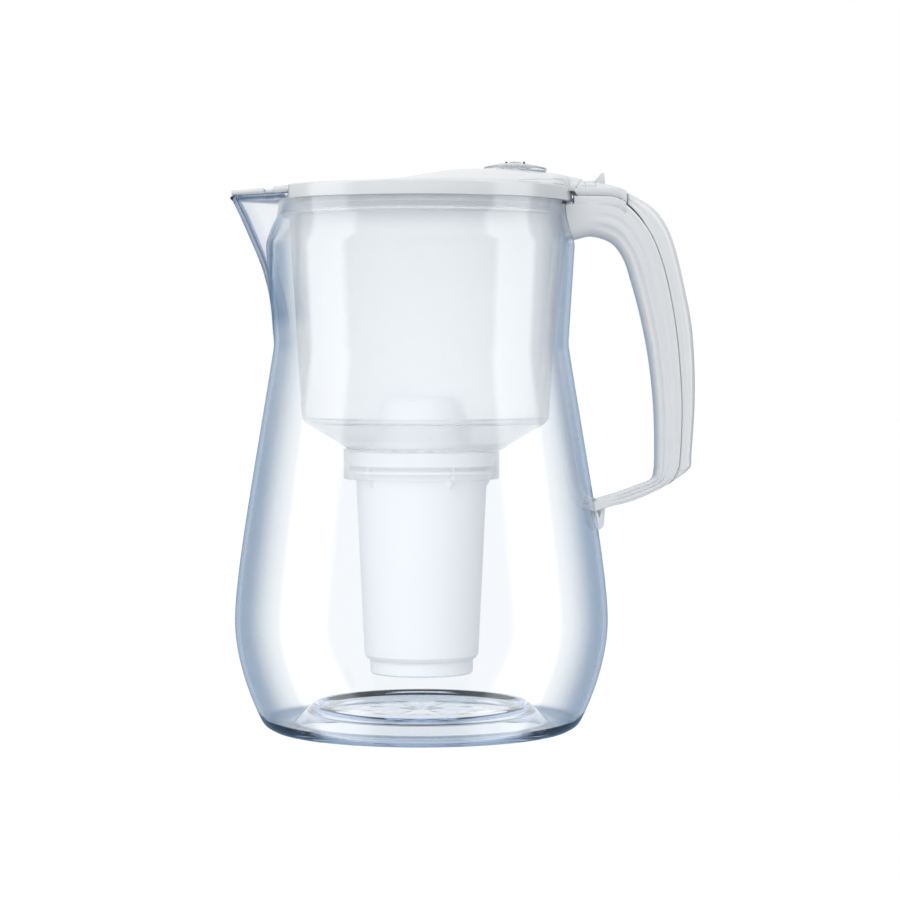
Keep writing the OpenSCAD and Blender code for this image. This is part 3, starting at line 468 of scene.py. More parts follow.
def painted_thick_edge_shade(points):
    """Painted shade for the jug's thick edges, where much plastic stands behind a point, kept as its depth
    attribute: 0 where it is thin.

    Behind the spout's front edge it is 1 for 3.1, less on a line at 1.9, then 0.12, fading out at 12.5. It is
    1 on the top 2 of the rim where x < -62, 0.9 round the foot's lowest 2, and -0.24 on the floor, which
    takes the painted reflection away there and paints a little shade.
    """
    x, z = points[:, 0], points[:, 2]
    lip = soft(LIP_LINE, np.minimum(z, SPOUT_Z - 1.2), 2.4) - np.maximum(0, LIP_FOOT - z) * 0.6
    behind = x + lip
    strip = step((4.0 - behind) / 0.9) - 0.35 * bump((behind - 1.9) / 0.9)
    tail = 0.12 * step((12.5 - behind) / 9)
    above = step((z - 189) / 10)
    rim = step((z - SPOUT_Z + 2.9) / 0.8) * step((-62 - x) / 2)
    r = np.hypot(x, points[:, 1])
    foot = 0.9 * step((4.6 - z) / 2.4) * step((r - 60) / 6)
    inner = -0.24 * step((71 - r) / 3) * step((17 - z) / 2)
    strongest_shade = np.maximum(np.maximum(strip, tail) * above, np.maximum(rim, foot))
    return np.where(strongest_shade > 0.02, strongest_shade, inner)


jug = piece("jug", tubes([jug_grid()]), "jug", ["jug_body"], CLEAR_JUG)
corners = np.empty(3 * len(jug.data.vertices))
jug.data.vertices.foreach_get("co", corners)
# The depth attribute carries the painted shade on the jug's thick edges.
depth = jug.data.attributes.new("depth", "FLOAT", "POINT")
depth.data.foreach_set("value", painted_thick_edge_shade(corners.reshape(-1, 3) / MM))

# ---------------------------------------------------------------- funnel
COLLAR_R, FUNNEL_T, LEDGE_Z, CUP_SHIFT, NOSE_X = 67.4, 1.7, 244.9, 2.0, 61.5
FLANGE = (255.0, 256.2)


def funnel_grid():
    """The funnel as one closed profile turned about Z; the cup's rows stand CUP_SHIFT towards the handle.

    The flange is cut straight at x = -NOSE_X, over the spout.
    """
    t = FUNNEL_T
    collar = [(69.8, FLANGE[1], 0), (69.8, FLANGE[0], 0), (COLLAR_R, FLANGE[0], 0), (COLLAR_R, LEDGE_Z, 0)]
    outside = [(65.2, LEDGE_Z, 1), (59.2, 148.6, 1), (57.0, 146.0, 1), (42.9, 137.6, 1), (37.7, 134.2, 1)]
    skirt = [(37.3, 133.4, 0), (37.3, 119.8, 0), (35.6, 119.8, 0), (35.6, 133.6, 0)]
    shelf = [(28.6, 133.6, 0), (28.6, 135.2, 0), (36.4, 135.2, 0)]
    inside = [(41.9, 139.2, 1), (55.8, 147.7, 1), (57.5, 149.4, 1), (63.5, LEDGE_Z + t, 1)]
    top = [(COLLAR_R - t, LEDGE_Z + t, 0), (COLLAR_R - t, FLANGE[1], 0)]
    profile = np.array(collar + outside + skirt + shelf + inside + top, float)
    corners = rounded(profile[:, :2], 0.45, 4)
    shifts = np.repeat(profile[:, 2], 4) * CUP_SHIFT
    long_rows = []
    for i in range(len(corners)):
        here, after = corners[i], corners[(i + 1) % len(corners)]
        a, b = shifts[i], shifts[(i + 1) % len(corners)]
        parts = max(1, int(np.linalg.norm(after - here) / 6))
        for k in range(parts):
            mixed = here + (after - here) * k / parts
            long_rows.append((mixed[0], mixed[1], a + (b - a) * k / parts))
    turn = np.radians(np.arange(0, 360, 1.5))
    rows = []
    for r, z, shift in long_rows:
        limit = np.where(-np.cos(turn) > 0.05, NOSE_X / np.maximum(-np.cos(turn), 0.05), 1000)
        reach = np.where(r > COLLAR_R, np.clip(limit, COLLAR_R, r), r)
        rows.append(np.stack([reach * np.cos(turn) + shift, reach * np.sin(turn), z + 0 * turn], -1))
    return np.array(rows)


piece("funnel_shell", [(funnel_grid(), True, True)], "funnel_body", ["funnel"], FROSTED)


# ---------------------------------------------------------------- lid
BAND_R, SKIRT_R, BAND_Z, BAND_H = 72.0, 70.4, 258.0, 6.0
DECK_Z, FLAP_Z, NOSE_Z, NOSE_END = 256.5, 257.8, 255.5, 71.8
TONGUE_HALF, TONGUE_X, CREST_RISE, EDGE_RISE = 13.0, 97.6, 11.0, 0.6
FLAP_R, FLAP_GAP, FLAP_TURN, FLAP_END, LID_T = 69.9, 0.5, 45.0, 76.6, 1.8
HINGE_X, HINGE_HALF, BARREL_R, CORNER_ROOM = 79.6, 9.0, 2.6, 0.9
DIAL_X, DIAL_TILT, DIAL_R, PLATE_Z, DIAL_SINK = 44.9, 1.2, 15.0, -1.2, 0.7
WELL_R = DIAL_R + 0.4
DECK_T, FILL_R, FILL_X, PLUG_R, PLUG_T, PLUG_Z = 1.0, 50.0, -7.0, 65.3, 1.6, 249.5
FIN_HALF, FIN_END, SHOULDER_X, TONGUE_START, FLAP_ROOM, BARREL_ROOM = 5.6, 94.6, 43.0, 70.2, 1.3, 3.4
KNUCKLE_LOW, BURIED, BRIDGE_HALF, BRIDGE_OUT, BRIDGE_IN = 0.95, 0.06, 18, 5, 6
CREST = [[-70, 0.10], [-61, 0.13], [-47, 0.21], [-32, 0.26], [-16, 0.30], [-6, 0.47], [9, 0.75],
         [17, 0.835], [33, 0.885], [45, 0.865], [62, 0.715], [74, 0.485], [86, 0.265], [93, 0.10],
         [98, -0.13], [110, -0.6]]


def crest(x):
    """Height of the lid's middle line over its band."""
    return soft(CREST, x, 3) * CREST_RISE


HINGE_Z = BAND_Z + float(crest(HINGE_X)) - BARREL_R - 0.4
DIAL_Z = BAND_Z + float(crest(DIAL_X)) - DIAL_SINK


def spout_half(x):
    """Half width of the lid over the spout's V."""
    return np.maximum(0.2, LIP_X + LIP_BACK + x - 0.3)


def round_half(r, x):
    """Half width of a circle of radius r at x."""
    return np.sqrt(np.maximum(0, r * r - x * x))


def lid_half(x):
    """Half width of the whole lid at x: the V, then the band's circle, then the tongue."""
    return np.where(x < -NOSE_X, spout_half(x), np.maximum(round_half(BAND_R - 0.3, x), TONGUE_HALF))


def nose_top(x):
    """Top of the lid over the spout: it rises as a square from the lip to the band."""
    return NOSE_Z + 2.0 + 1.0 * np.maximum(0, (LIP_X + x) / (LIP_X - NOSE_X)) ** 2


def lid_top(x, y):
    """Top of the lid: nose_top over the spout, else the rim and a crest falling off as 1 - (y / half)^power.

    The power grows from 2 at x = 60 to 6 at x = 74, so that the tongue's top is flat with steep sides.
    """
    share = np.minimum(1, np.abs(y) / lid_half(x))
    power = 2 + 4 * np.clip((x - FLAP_TURN - 15) / 14, 0, 1)
    rise = crest(x)
    dome = BAND_Z + np.minimum(rise, EDGE_RISE) + np.maximum(0, rise - EDGE_RISE) * (1 - share**power)
    return np.where(x < -NOSE_X, nose_top(x), dome)


def tongue_under(x):
    """Underside of the tongue over the handle's root: RIM_Z - 0.02 (x - 72) - 3 t^3.

    t goes from 0 at x = 86 to 1 at the tongue's end.
    """
    return RIM_Z - (x - BAND_R) * 0.02 - 3 * np.clip((x - 86) / (TONGUE_X - 86), 0, 2) ** 3


def flap_half(x):
    """Half width of the flap: the round front, then drawn in to the hinge."""
    turn_half = round_half(FLAP_R, FLAP_TURN)
    share = np.clip((x - FLAP_TURN) / (FLAP_END - FLAP_TURN), 0, 1)
    back = HINGE_HALF + 1 + (turn_half - HINGE_HALF - 1) * (1 - share) ** 1.05
    return np.where(x < FLAP_TURN, round_half(FLAP_R, np.minimum(x, FLAP_TURN)), back)


def flap_edge(x):
    """The flap's own half width: narrower than flap_half at its back, so that its corners swing clear."""
    return flap_half(x) - CORNER_ROOM * np.clip((x - FLAP_END + 14) / 12, 0, 1)


def spread(a, b, count, fine=0.6):
    """count values from a to b, with three more close to each end for its rounded edge."""
    inner = np.linspace(a + math.copysign(fine, b - a), b - math.copysign(fine, b - a), count)
    near = np.array([0, 0.12, 0.4]) * math.copysign(fine, b - a)
    return np.concatenate([a + near, inner, b - near[::-1]])


def slab(xs, inner, outer, top, under, columns, edge=0.6):
    """Closed loops across the lid at each x, from inner(x) to outer(x) along top and back along under.

    The top drops by edge_drop near every edge.
    """
    loops = []
    share = spread(0.0, 1.0, columns, 0.02)
    ends = np.minimum(xs - xs[0], xs[-1] - xs)
    for x, end in zip(xs, ends):
        low, high = float(inner(x)), float(outer(x))
        width = max(high - low, 0.02)
        local = share.copy()
        near = np.array([0, 0.12, 0.4, 1.0]) * edge / width
        if near[-1] < 0.3:
            local[:4] = near
            local[-4:] = 1 - near[::-1]
        y = low + width * local
        gap = np.minimum(np.minimum(end, width * (1 - local)), width * local)
        up = top(np.full_like(y, x), y) - edge_drop(gap, edge)
        down = under(np.full_like(y, x), y)
        up = np.maximum(up, down + 0.05)
        over = np.stack([np.full_like(y, x), y, up], -1)
        below = np.stack([np.full_like(y, x), y, down], -1)[::-1]
        loops.append(np.concatenate([over, below]))
    return caps(np.array(loops))


def mirrored(grid):
    """The same surface on the other side of the lid."""
    return grid * np.array([1, -1, 1])


def bar(r, y0, y1, x, z):
    """A round bar along Y with softened ends."""
    turn = np.linspace(0, 2 * math.pi, 28, endpoint=False)
    edge = 0.3
    rings = []
    for y, reach in ((y0, r - edge), (y0 + edge * 0.3, r - edge * 0.3), (y0 + edge, r), (y1 - edge, r),
                     (y1 - edge * 0.3, r - edge * 0.3), (y1, r - edge)):
        rings.append(np.stack([x + reach * np.cos(turn), y + 0 * turn, z + reach * np.sin(turn)], -1))
    return caps(np.array(rings))


def box_grid(x0, x1, y0, y1, z0, z1):
    """A plain block with rounded edges, as loops along X that shrink towards both ends."""
    loop = rounded([[y0, z0], [y1, z0], [y1, z1], [y0, z1]], 0.25, 4)
    loops = []
    for x, inset in ((x0, 0.25), (x0 + 0.07, 0.08), (x0 + 0.25, 0), (x0 + 0.4, 0),
                     (x1 - 0.4, 0), (x1 - 0.25, 0), (x1 - 0.07, 0.08), (x1, 0.25)):
        y = np.clip(loop[:, 0], y0 + inset, y1 - inset)
        z = np.clip(loop[:, 1], z0 + inset, z1 - inset)
        loops.append(np.stack([x + 0 * y, y, z], -1))
    return caps(np.array(loops))


def band_grid():
    """The lid's band: a rounded strip turned about Z and open over the spout, where x < -NOSE_X."""
    start = math.acos(NOSE_X / BAND_R)
    turn = math.pi - np.linspace(start, 2 * math.pi - start, 260)
    section = [[BAND_R, BAND_Z - BAND_H], [BAND_R, BAND_Z + 0.5], [FLAP_R + 0.55, BAND_Z + 0.75],
               [FLAP_R + 0.55, DECK_Z], [SKIRT_R, DECK_Z - 0.6], [SKIRT_R, BAND_Z - BAND_H]]
    corner = rounded(section, 0.5, 4)
    corner[4:8] = rounded(section, 1.3, 4)[4:8]
    return caps(np.swapaxes(turned(corner, turn), 0, 1))


def deck_grid():
    """The flat ring under the flap, cut straight at x = -NOSE_X, round the fill opening about x = FILL_X."""
    turn = np.radians(np.arange(0, 360, 3.0))
    rows = []
    for z in (DECK_Z, DECK_Z + DECK_T):
        r = SKIRT_R + 0.5
        rows.append(np.stack([np.maximum(r * np.cos(turn), -NOSE_X), r * np.sin(turn), z + 0 * turn], -1))
    for r, z in ((FILL_R + 0.2, DECK_Z + DECK_T), (FILL_R, DECK_Z + DECK_T - 0.2),
                 (FILL_R, DECK_Z + 0.2), (FILL_R + 0.2, DECK_Z)):
        rows.append(np.stack([r * np.cos(turn) + FILL_X, r * np.sin(turn), z + 0 * turn], -1))
    return np.array(rows)


def plug_grid():
    """The short wall that locates the lid inside the funnel's collar, cut off at the spout."""
    start = math.acos(NOSE_X / PLUG_R)
    turn = math.pi - np.linspace(start, 2 * math.pi - start, 200)
    inner, top = PLUG_R - PLUG_T, DECK_Z + 0.2
    section = rounded([[PLUG_R, PLUG_Z], [PLUG_R, top], [inner, top], [inner, PLUG_Z]], 0.4, 3)
    return caps(np.swapaxes(turned(section, turn), 0, 1))


def shoulder_under(x, _):
    """Underside of the lid beside and behind the flap, the same for every y."""
    return np.where(x < 73, DECK_Z, tongue_under(x))


def shoulder_grids():
    """The lid's two shoulders and the tongue over the handle's root."""
    parts = []
    beside_flap = lambda x: flap_edge(x) + FLAP_GAP
    tongue = lambda x: TONGUE_HALF
    sides = [
        (spread(SHOULDER_X, TONGUE_START, 30), beside_flap, lid_half),
        (spread(TONGUE_START, FLAP_END + FLAP_ROOM, 10, 0.01), beside_flap, tongue),
        (spread(FLAP_END + FLAP_ROOM, HINGE_X + BARREL_ROOM, 8, 0.01), lambda x: HINGE_HALF + 0.5, tongue),
        (spread(HINGE_X + BARREL_ROOM, FIN_END, 16, 0.01), lambda x: FIN_HALF, tongue),
    ]
    for xs, inner, outer in sides:
        one = slab(xs, inner, outer, lid_top, shoulder_under, 14)
        parts += [one, mirrored(one)]
    xs = spread(FIN_END, TONGUE_X, 6, 0.3)
    parts.append(slab(xs, lambda x: -TONGUE_HALF, lambda x: TONGUE_HALF, lid_top, shoulder_under, 26))
    return parts


SPOUT_BARREL_R, SPOUT_BARREL_HALF, KNUCKLE_Y = 1.7, 9.0, 9.5
SPOUT_HINGE_Z = NOSE_Z + 0.1


def nose_grids():
    """The fixed part of the lid over the spout, with the knuckles of the spout flap's hinge at its end.

    The knuckles are KNUCKLE_LOW lower than the rest, so that the spout flap can swing up. A block joins the
    nose to the deck, BURIED inside both of the deck's faces, because coincident faces render black.
    """
    top = lambda x, y: nose_top(x)
    low_top = lambda x, y: nose_top(x) - KNUCKLE_LOW
    collar = lambda x, y: (x > -NOSE_X - 0.4) | (np.hypot(x, y) < COLLAR_R + 0.5)
    under = lambda x, y: np.where(collar(x, y), DECK_Z, NOSE_Z)
    minus_half = lambda x: -spout_half(x)
    outer = lambda x: max(spout_half(x), KNUCKLE_Y + 0.2)
    parts = [slab(spread(-NOSE_END + 2.6, -NOSE_X, 16, 0.3), minus_half, spout_half, top, under, 34, 0.5)]
    xs = spread(-NOSE_END - 1.1, -NOSE_END + 2.8, 6, 0.3)
    knuckle = slab(xs, lambda x: KNUCKLE_Y, outer, low_top, under, 8, 0.4)
    for side, shape in ((1, knuckle), (-1, mirrored(knuckle))):
        parts.append(shape)
        ear = sorted((side * KNUCKLE_Y, side * (KNUCKLE_Y + 3.4)))
        parts.append(box_grid(-NOSE_END - 1, -NOSE_END + 1.8, *ear, SPOUT_HINGE_Z - 1.4, NOSE_Z + 0.6))
    bridge = (-BRIDGE_HALF, BRIDGE_HALF, DECK_Z + BURIED, DECK_Z + DECK_T - BURIED)
    parts.append(box_grid(-NOSE_X - BRIDGE_OUT, -NOSE_X + BRIDGE_IN, *bridge))
    return parts


def flap_grid():
    """The flap's dome with the round recess for the indicator.

    Points within 0.45 of the recess's wall are drawn to 0.04 from it, so that the wall is round, and those
    inside drop to its sloping floor.
    """
    back_edge = FLAP_END - np.array([0.4, 0.12, 0])
    behind_dial = np.linspace(62.0, FLAP_END - 0.6, 14)
    xs = [spread(-NOSE_X + FLAP_GAP, 28.0, 50), np.arange(28.4, 61.6, 0.55), behind_dial, back_edge]
    share = np.sin(np.linspace(-1, 1, 150) * math.pi / 2 * 0.62) / math.sin(math.pi / 2 * 0.62)
    near = np.array([0, 0.1, 0.3, 0.6])
    tilt = math.radians(DIAL_TILT)
    loops = []
    for x in np.concatenate(xs):
        half = float(flap_edge(x))
        y = half * share
        y[:4] = -half + near
        y[-4:] = half - near[::-1]
        px = np.full_like(y, x)
        away = np.hypot(px - DIAL_X, y)
        drawn = (WELL_R + 0.04 * np.sign(away - WELL_R)) / np.maximum(away, 1)
        pull = np.where(np.abs(away - WELL_R) < 0.45, drawn, 1)
        px, y = DIAL_X + (px - DIAL_X) * pull, y * pull
        away = np.hypot(px - DIAL_X, y)
        gap = np.minimum(np.minimum(x + NOSE_X - FLAP_GAP, FLAP_END - x), half - np.abs(y))
        up = lid_top(px, y) - edge_drop(gap, 0.6)
        floor_z = DIAL_Z + PLATE_Z / math.cos(tilt) - (px - DIAL_X) * math.tan(tilt)
        up = np.where(away < WELL_R, floor_z, up)
        down = np.maximum(FLAP_Z, lid_top(px, y) - LID_T)
        down = np.minimum(down, np.where(away < WELL_R + 1.2, floor_z - 2.2, down))
        down = np.minimum(down, up - 0.05)
        loops.append(np.concatenate([np.stack([px, y, up], -1), np.stack([px, y, down], -1)[::-1]]))
    return caps(np.array(loops))


def spout_cover_grids():
    """The small flap over the spout: a thin shield with rounded edges, its hinge's barrel and its neck."""
    under = lambda x, y: NOSE_Z + 0 * x
    top = lambda x, y: nose_top(x)
    xs = spread(-LIP_X + 0.8, -NOSE_END - 2.3, 16, 0.4)
    shield = slab(xs, lambda x: -spout_half(x), spout_half, top, under, 26, 0.5)
    width = (-SPOUT_BARREL_HALF, SPOUT_BARREL_HALF)
    neck = box_grid(-NOSE_END - 3, -NOSE_END, *width, NOSE_Z - 0.4, NOSE_Z + 1.1)
    return [shield, bar(SPOUT_BARREL_R, *width, -NOSE_END, SPOUT_HINGE_Z), neck]


lid_parts = [(deck_grid(), True, True)] + tubes([band_grid(), plug_grid(), *shoulder_grids(), *nose_grids()])
piece("lid_shell", lid_parts, "lid", ["lid_frame"], WHITE_GLOSS)
flap_parts = [flap_grid()]
for low, high in ((-HINGE_HALF, -5.2), (5.2, HINGE_HALF)):
    flap_parts.append(bar(BARREL_R, low, high, HINGE_X, HINGE_Z))
    flap_parts.append(box_grid(FLAP_END - 2, FLAP_END + 1.6, low, high, HINGE_Z - 2, HINGE_Z + 2))
piece("flap_shell", tubes(flap_parts), "flap", ["lid_flap"], WHITE_GLOSS)
piece("spout_shield", tubes(spout_cover_grids()), "spout_cover", ["spout_flap"], WHITE_GLOSS)

# ---------------------------------------------------------------- indicator
DISC_Z, DISC_TOP, DOME, KNOB_R, KNOB_H = 0.2, 1.7, 2.3, 2.9, 0.5
RING_IN, RING_OUT, RING_Z, RING_TOP, TOOTH, TEETH = 8.0, 11.2, -1.0, 1.2, 0.022, 40
ARROW_X, ARROW_HALF, ARROW_LONG = 4.2, 0.5, 1.4


def on_dial(profile, count=96):
    """A profile [[r, z]] turned about the dial's axis, which leans DIAL_TILT degrees towards the handle."""
    tilt = math.radians(DIAL_TILT)
    disc = turned(profile, np.linspace(0, 2 * math.pi, count, endpoint=False))
    x, y, z = disc[..., 0], disc[..., 1], disc[..., 2]
    across = DIAL_X + x * math.cos(tilt) + z * math.sin(tilt)
    return np.stack([across, y, DIAL_Z + z * math.cos(tilt) - x * math.sin(tilt)], -1)


def disc_grid():
    """The clear disc: its top rises from a rounded edge as DOME (1 - (r / R)^2)."""
    r = np.linspace(DIAL_R - 0.3, 0.02, 24)
    crown = np.stack([r, DISC_TOP + DOME * (1 - (r / DIAL_R) ** 2)], 1)
    base = [[0.02, DISC_Z], [6, DISC_Z], [DIAL_R - 0.3, DISC_Z]]
    side = [[DIAL_R, DISC_Z + 0.3], [DIAL_R, DISC_TOP - 0.2]]
    return on_dial(np.concatenate([base, side, crown]))


def scale_ring_grid():
    """The ring under the disc, with TEETH teeth round its edge, each TOOTH of the radius deep."""
    count = 12 * TEETH
    ring = on_dial([[RING_IN, RING_Z], [RING_OUT, RING_Z], [RING_OUT, RING_TOP], [RING_IN, RING_TOP]], count)
    teeth = 1 - TOOTH * (np.arange(count) // 6 % 2)
    ring[1:3, :, 0] = DIAL_X + (ring[1:3, :, 0] - DIAL_X) * teeth
    ring[1:3, :, 1] *= teeth
    return ring


def knob_grid():
    """The knob's short post in the middle of the disc."""
    foot, top = DISC_Z + 0.4, DISC_TOP + DOME + KNOB_H
    return on_dial([[0.02, foot], [KNOB_R, foot], [KNOB_R, top - 0.2], [KNOB_R - 0.3, top], [0.02, top]])


piece("dial_disc", tubes([disc_grid()]), "dial", ["indicator_dial"], CLEAR_DIAL)
piece("dial_knob", tubes([knob_grid()]), "dial", [], CLEAR_DIAL)
piece("dial_scale", [(scale_ring_grid(), True, True)], "flap", [], SCALE)
arrow_z = DIAL_Z + DISC_TOP + DOME
arrow_yz = (-ARROW_LONG, ARROW_LONG, arrow_z - 0.5, arrow_z + 0.6)
arrows = [box_grid(x - ARROW_HALF, x + ARROW_HALF, *arrow_yz) for x in (DIAL_X - ARROW_X, DIAL_X + ARROW_X)]
piece("dial_arrows", tubes(arrows), "dial", [], INK)

# ---------------------------------------------------------------- handle
HANDLE_IN = [[64, 233.6], [73.4, 234.2], [81.6, 235.7], [91.2, 232.4], [97, 224.6], [100.2, 215],
             [104.6, 199], [108.8, 178], [111.4, 154], [111.9, 132], [111.5, 122.8], [109.6, 119],
             [103.2, 116.5], [95.8, 113.7], [88.6, 111.5], [80, 109]]
HANDLE_SEAM = [[64, 251.2], [72.6, 251.2], [84, 253.1], [96, 251.4], [107.6, 239], [114.8, 222.4],
               [119.9, 200], [122.8, 177], [124.1, 153], [123.3, 131], [122, 123.6], [117.6, 117.4],
               [104.8, 110.9], [96.8, 108.2], [90, 106.6], [81, 103.6]]
GRIP, ARM, SADDLE_X, SADDLE_Z, POCKET_Z, SKIN_GAP = 13.5, 9.5, 73.6, 246.2, 250.0, 0.12
HANDLE_HALF = [GRIP] * 10 + [GRIP * 0.96, GRIP * 0.84, ARM, ARM, ARM, ARM]
COVER_OUT = [[98.6, 256.4], [111.4, 248.4], [119.6, 235], [126.2, 209], [129.7, 188], [130.8, 160],
             [129.3, 132], [128.5, 125.2], [121.6, 119.9]]


def handle_grid():
    """The front shell: rounded rings from the inner edge to the seam, swept along the handle.

    A ring is a superellipse |c|^n + |s|^n = 1, with n = 3.2 on its inner half and 14 on its outer half, and
    three flutes run along both of its sides. Under the lever's fin the rings end at POCKET_Z. Rings inside
    the jug are pushed out to SKIN_GAP off its wall: x >= sqrt(r(z)^2 - y^2) + SKIN_GAP.
    """
    steps = np.linspace(0, len(HANDLE_IN) - 1, 210)
    inner, seam, half = (through(p, steps) for p in (HANDLE_IN, HANDLE_SEAM, HANDLE_HALF))
    turn = (np.arange(168) + 0.5) * 2 * math.pi / 168
    turn = turn + 0.15 * np.sin(4 * turn)
    power = np.where(np.cos(turn) > 0, 14.0, 3.2)
    reach = (np.abs(np.cos(turn)) ** power + np.abs(np.sin(turn)) ** power) ** (-1 / power)
    c, s = reach * np.cos(turn), reach * np.sin(turn)
    fade = step((steps - 1.6) / 1.2) * step((14.4 - steps) / 1.5)
    flute = 1.1 * bump((c + 0.50) / 0.24) + 0.6 * bump((c - 0.06) / 0.20) + 0.4 * bump((c - 0.70) / 0.14)
    width = half[:, None] * np.abs(s) - fade[:, None] * flute * (np.abs(s) > 0.5)
    mid = (inner + seam)[:, None] / 2
    arm = (seam - inner)[:, None] / 2
    x = mid[..., 0] + arm[..., 0] * c
    z = mid[..., 1] + arm[..., 1] * c
    y = width * np.sign(s)
    under_fin = (np.abs(y) < FIN_HALF + 0.2) & (x > SADDLE_X - 0.2) & (x < FIN_END + 0.2) & (z > 245)
    z = np.where(under_fin, np.minimum(z, POCKET_Z), z)
    wall = np.sqrt(np.maximum(side_r(z) ** 2 - y * y, 0)) + SKIN_GAP
    return caps(np.stack([np.where(z < RIM_Z + 5, np.maximum(x, wall), x), y, z], -1))


def saddle_grids():
    """The saddle on the handle's root under the lid's tongue, with room for the lever's fin in its middle."""
    top = lambda x, y: tongue_under(x) - 0.14
    under = lambda x, y: SADDLE_Z + 0 * x
    outer = lambda x: GRIP - 0.1
    minus_outer = lambda x: -outer(x)
    fin = lambda x: FIN_HALF
    front = slab(spread(BAND_R + 0.6, SADDLE_X, 4, 0.2), minus_outer, outer, top, under, 24, 0.4)
    side = slab(spread(SADDLE_X, FIN_END, 24, 0.01), fin, outer, top, under, 12, 0.4)
    back = slab(spread(FIN_END, TONGUE_X - 0.4, 6, 0.2), minus_outer, outer, top, under, 24, 0.4)
    return [front, side, mirrored(side), back]


def tail_grid():
    """The tail that lies on the jug's wall below the lower arm."""
    outline = rounded([[78, 111], [88, 107], [87.2, 97], [85.2, 95.5], [78, 95.5]], 0.8, 4)
    loops = []
    for y, shrink in ((-7, 0.4), (-6.9, 0.1), (-6.6, 0), (6.6, 0), (6.9, 0.1), (7, 0.4)):
        x = outline[:, 0] - shrink
        wall = np.sqrt(side_r(outline[:, 1]) ** 2 - y * y) + SKIN_GAP
        loops.append(np.stack([np.maximum(x, wall), y + 0 * x, outline[:, 1]], -1))
    return caps(np.array(loops))


def cover_grid():
    """The rear cover: half rings from just off the seam to its outer edge, with one flute beside the seam."""
    steps = np.linspace(0, len(COVER_OUT) - 1, 150)
    near = through(HANDLE_SEAM, steps + 3) + np.array([0.12, 0.05])
    near = near + np.maximum(0, 1 - steps)[:, None] * np.array([TONGUE_X + 0.4 - HANDLE_SEAM[3][0], -0.8])
    far = through(COVER_OUT, steps)
    half = GRIP * 0.88 * np.where(steps < 1, 0.9 + 0.1 * steps, np.where(steps > 7, 0.95, 1))
    turn = np.linspace(0, math.pi, 100)
    reach = (np.abs(np.cos(turn)) ** 3.6 + np.abs(np.sin(turn)) ** 3.6) ** (-1 / 3.6)
    c, s = reach * np.sin(turn), -reach * np.cos(turn)
    flute = 0.45 * bump((c - 0.34) / 0.2)
    x = near[:, None, 0] + (far - near)[:, None, 0] * c
    z = near[:, None, 1] + (far - near)[:, None, 1] * c
    y = half[:, None] * s - np.sign(s) * flute
    return caps(np.stack([x, y, z], -1))


handle_parts = [handle_grid(), tail_grid(), *saddle_grids()]
piece("handle_shell", tubes(handle_parts), "jug", ["handle_front"], WHITE_SATIN)
piece("handle_cover", tubes([cover_grid()]), "jug", ["handle_rear_cover"], WHITE_GLOSS)


# ---------------------------------------------------------------- studio
LENS, SENSOR, CAMERA_PLACE, CAMERA_DOWN = 110.2, 36.0, (0.0137, -1.322, 0.179), 1.975
WHITE = (1, 1, 1, 1)
LOW_BEHIND, HIGH_BEHIND = (0.19, 0.31, 0.48, 1), (0.98, 0.99, 1.0, 1)
IN_FRONT, OVERHEAD, SIDE_BOXES = (0.42, 0.455, 0.50, 1), (1.1, 1.11, 1.13, 1), (3.6, 3.62, 3.66, 1)
DOME_LOW, DOME_HIGH, DOME_FRONT = (0.22, 0.225, 0.235, 1), (0.98, 0.985, 0.99, 1), (1.9, 1.905, 1.91, 1)
FRONT_WAY = (-0.20, -0.94, 0.28)
FLOOR_HALF, FLOOR_DOWN, FLOOR_MATT, FLOOR_GLOW, GLOW_SHARE = 6.0, 0.0003, (0.76, 0.765, 0.77, 1), 1.07, 0.86


def camera():
    """The camera in front of the pitcher, a little above its lid, looking slightly down."""
    data = bpy.data.cameras.new("camera")
    data.lens = LENS
    data.sensor_width = SENSOR
    data.clip_start = 0.05
    thing = bpy.data.objects.new("camera", data)
    thing.location = CAMERA_PLACE
    thing.rotation_euler = (math.radians(90 - CAMERA_DOWN), 0, 0)
    bpy.context.scene.collection.objects.link(thing)
    bpy.context.scene.camera = thing


def seen_straight(tree):
    """1 for rays that come from the camera or through clear plastic, 0 for light and reflections."""
    path = tree.nodes.new("ShaderNodeLightPath").outputs
    return maths(tree, "MAXIMUM", path["Is Camera Ray"], path["Is Transmission Ray"])


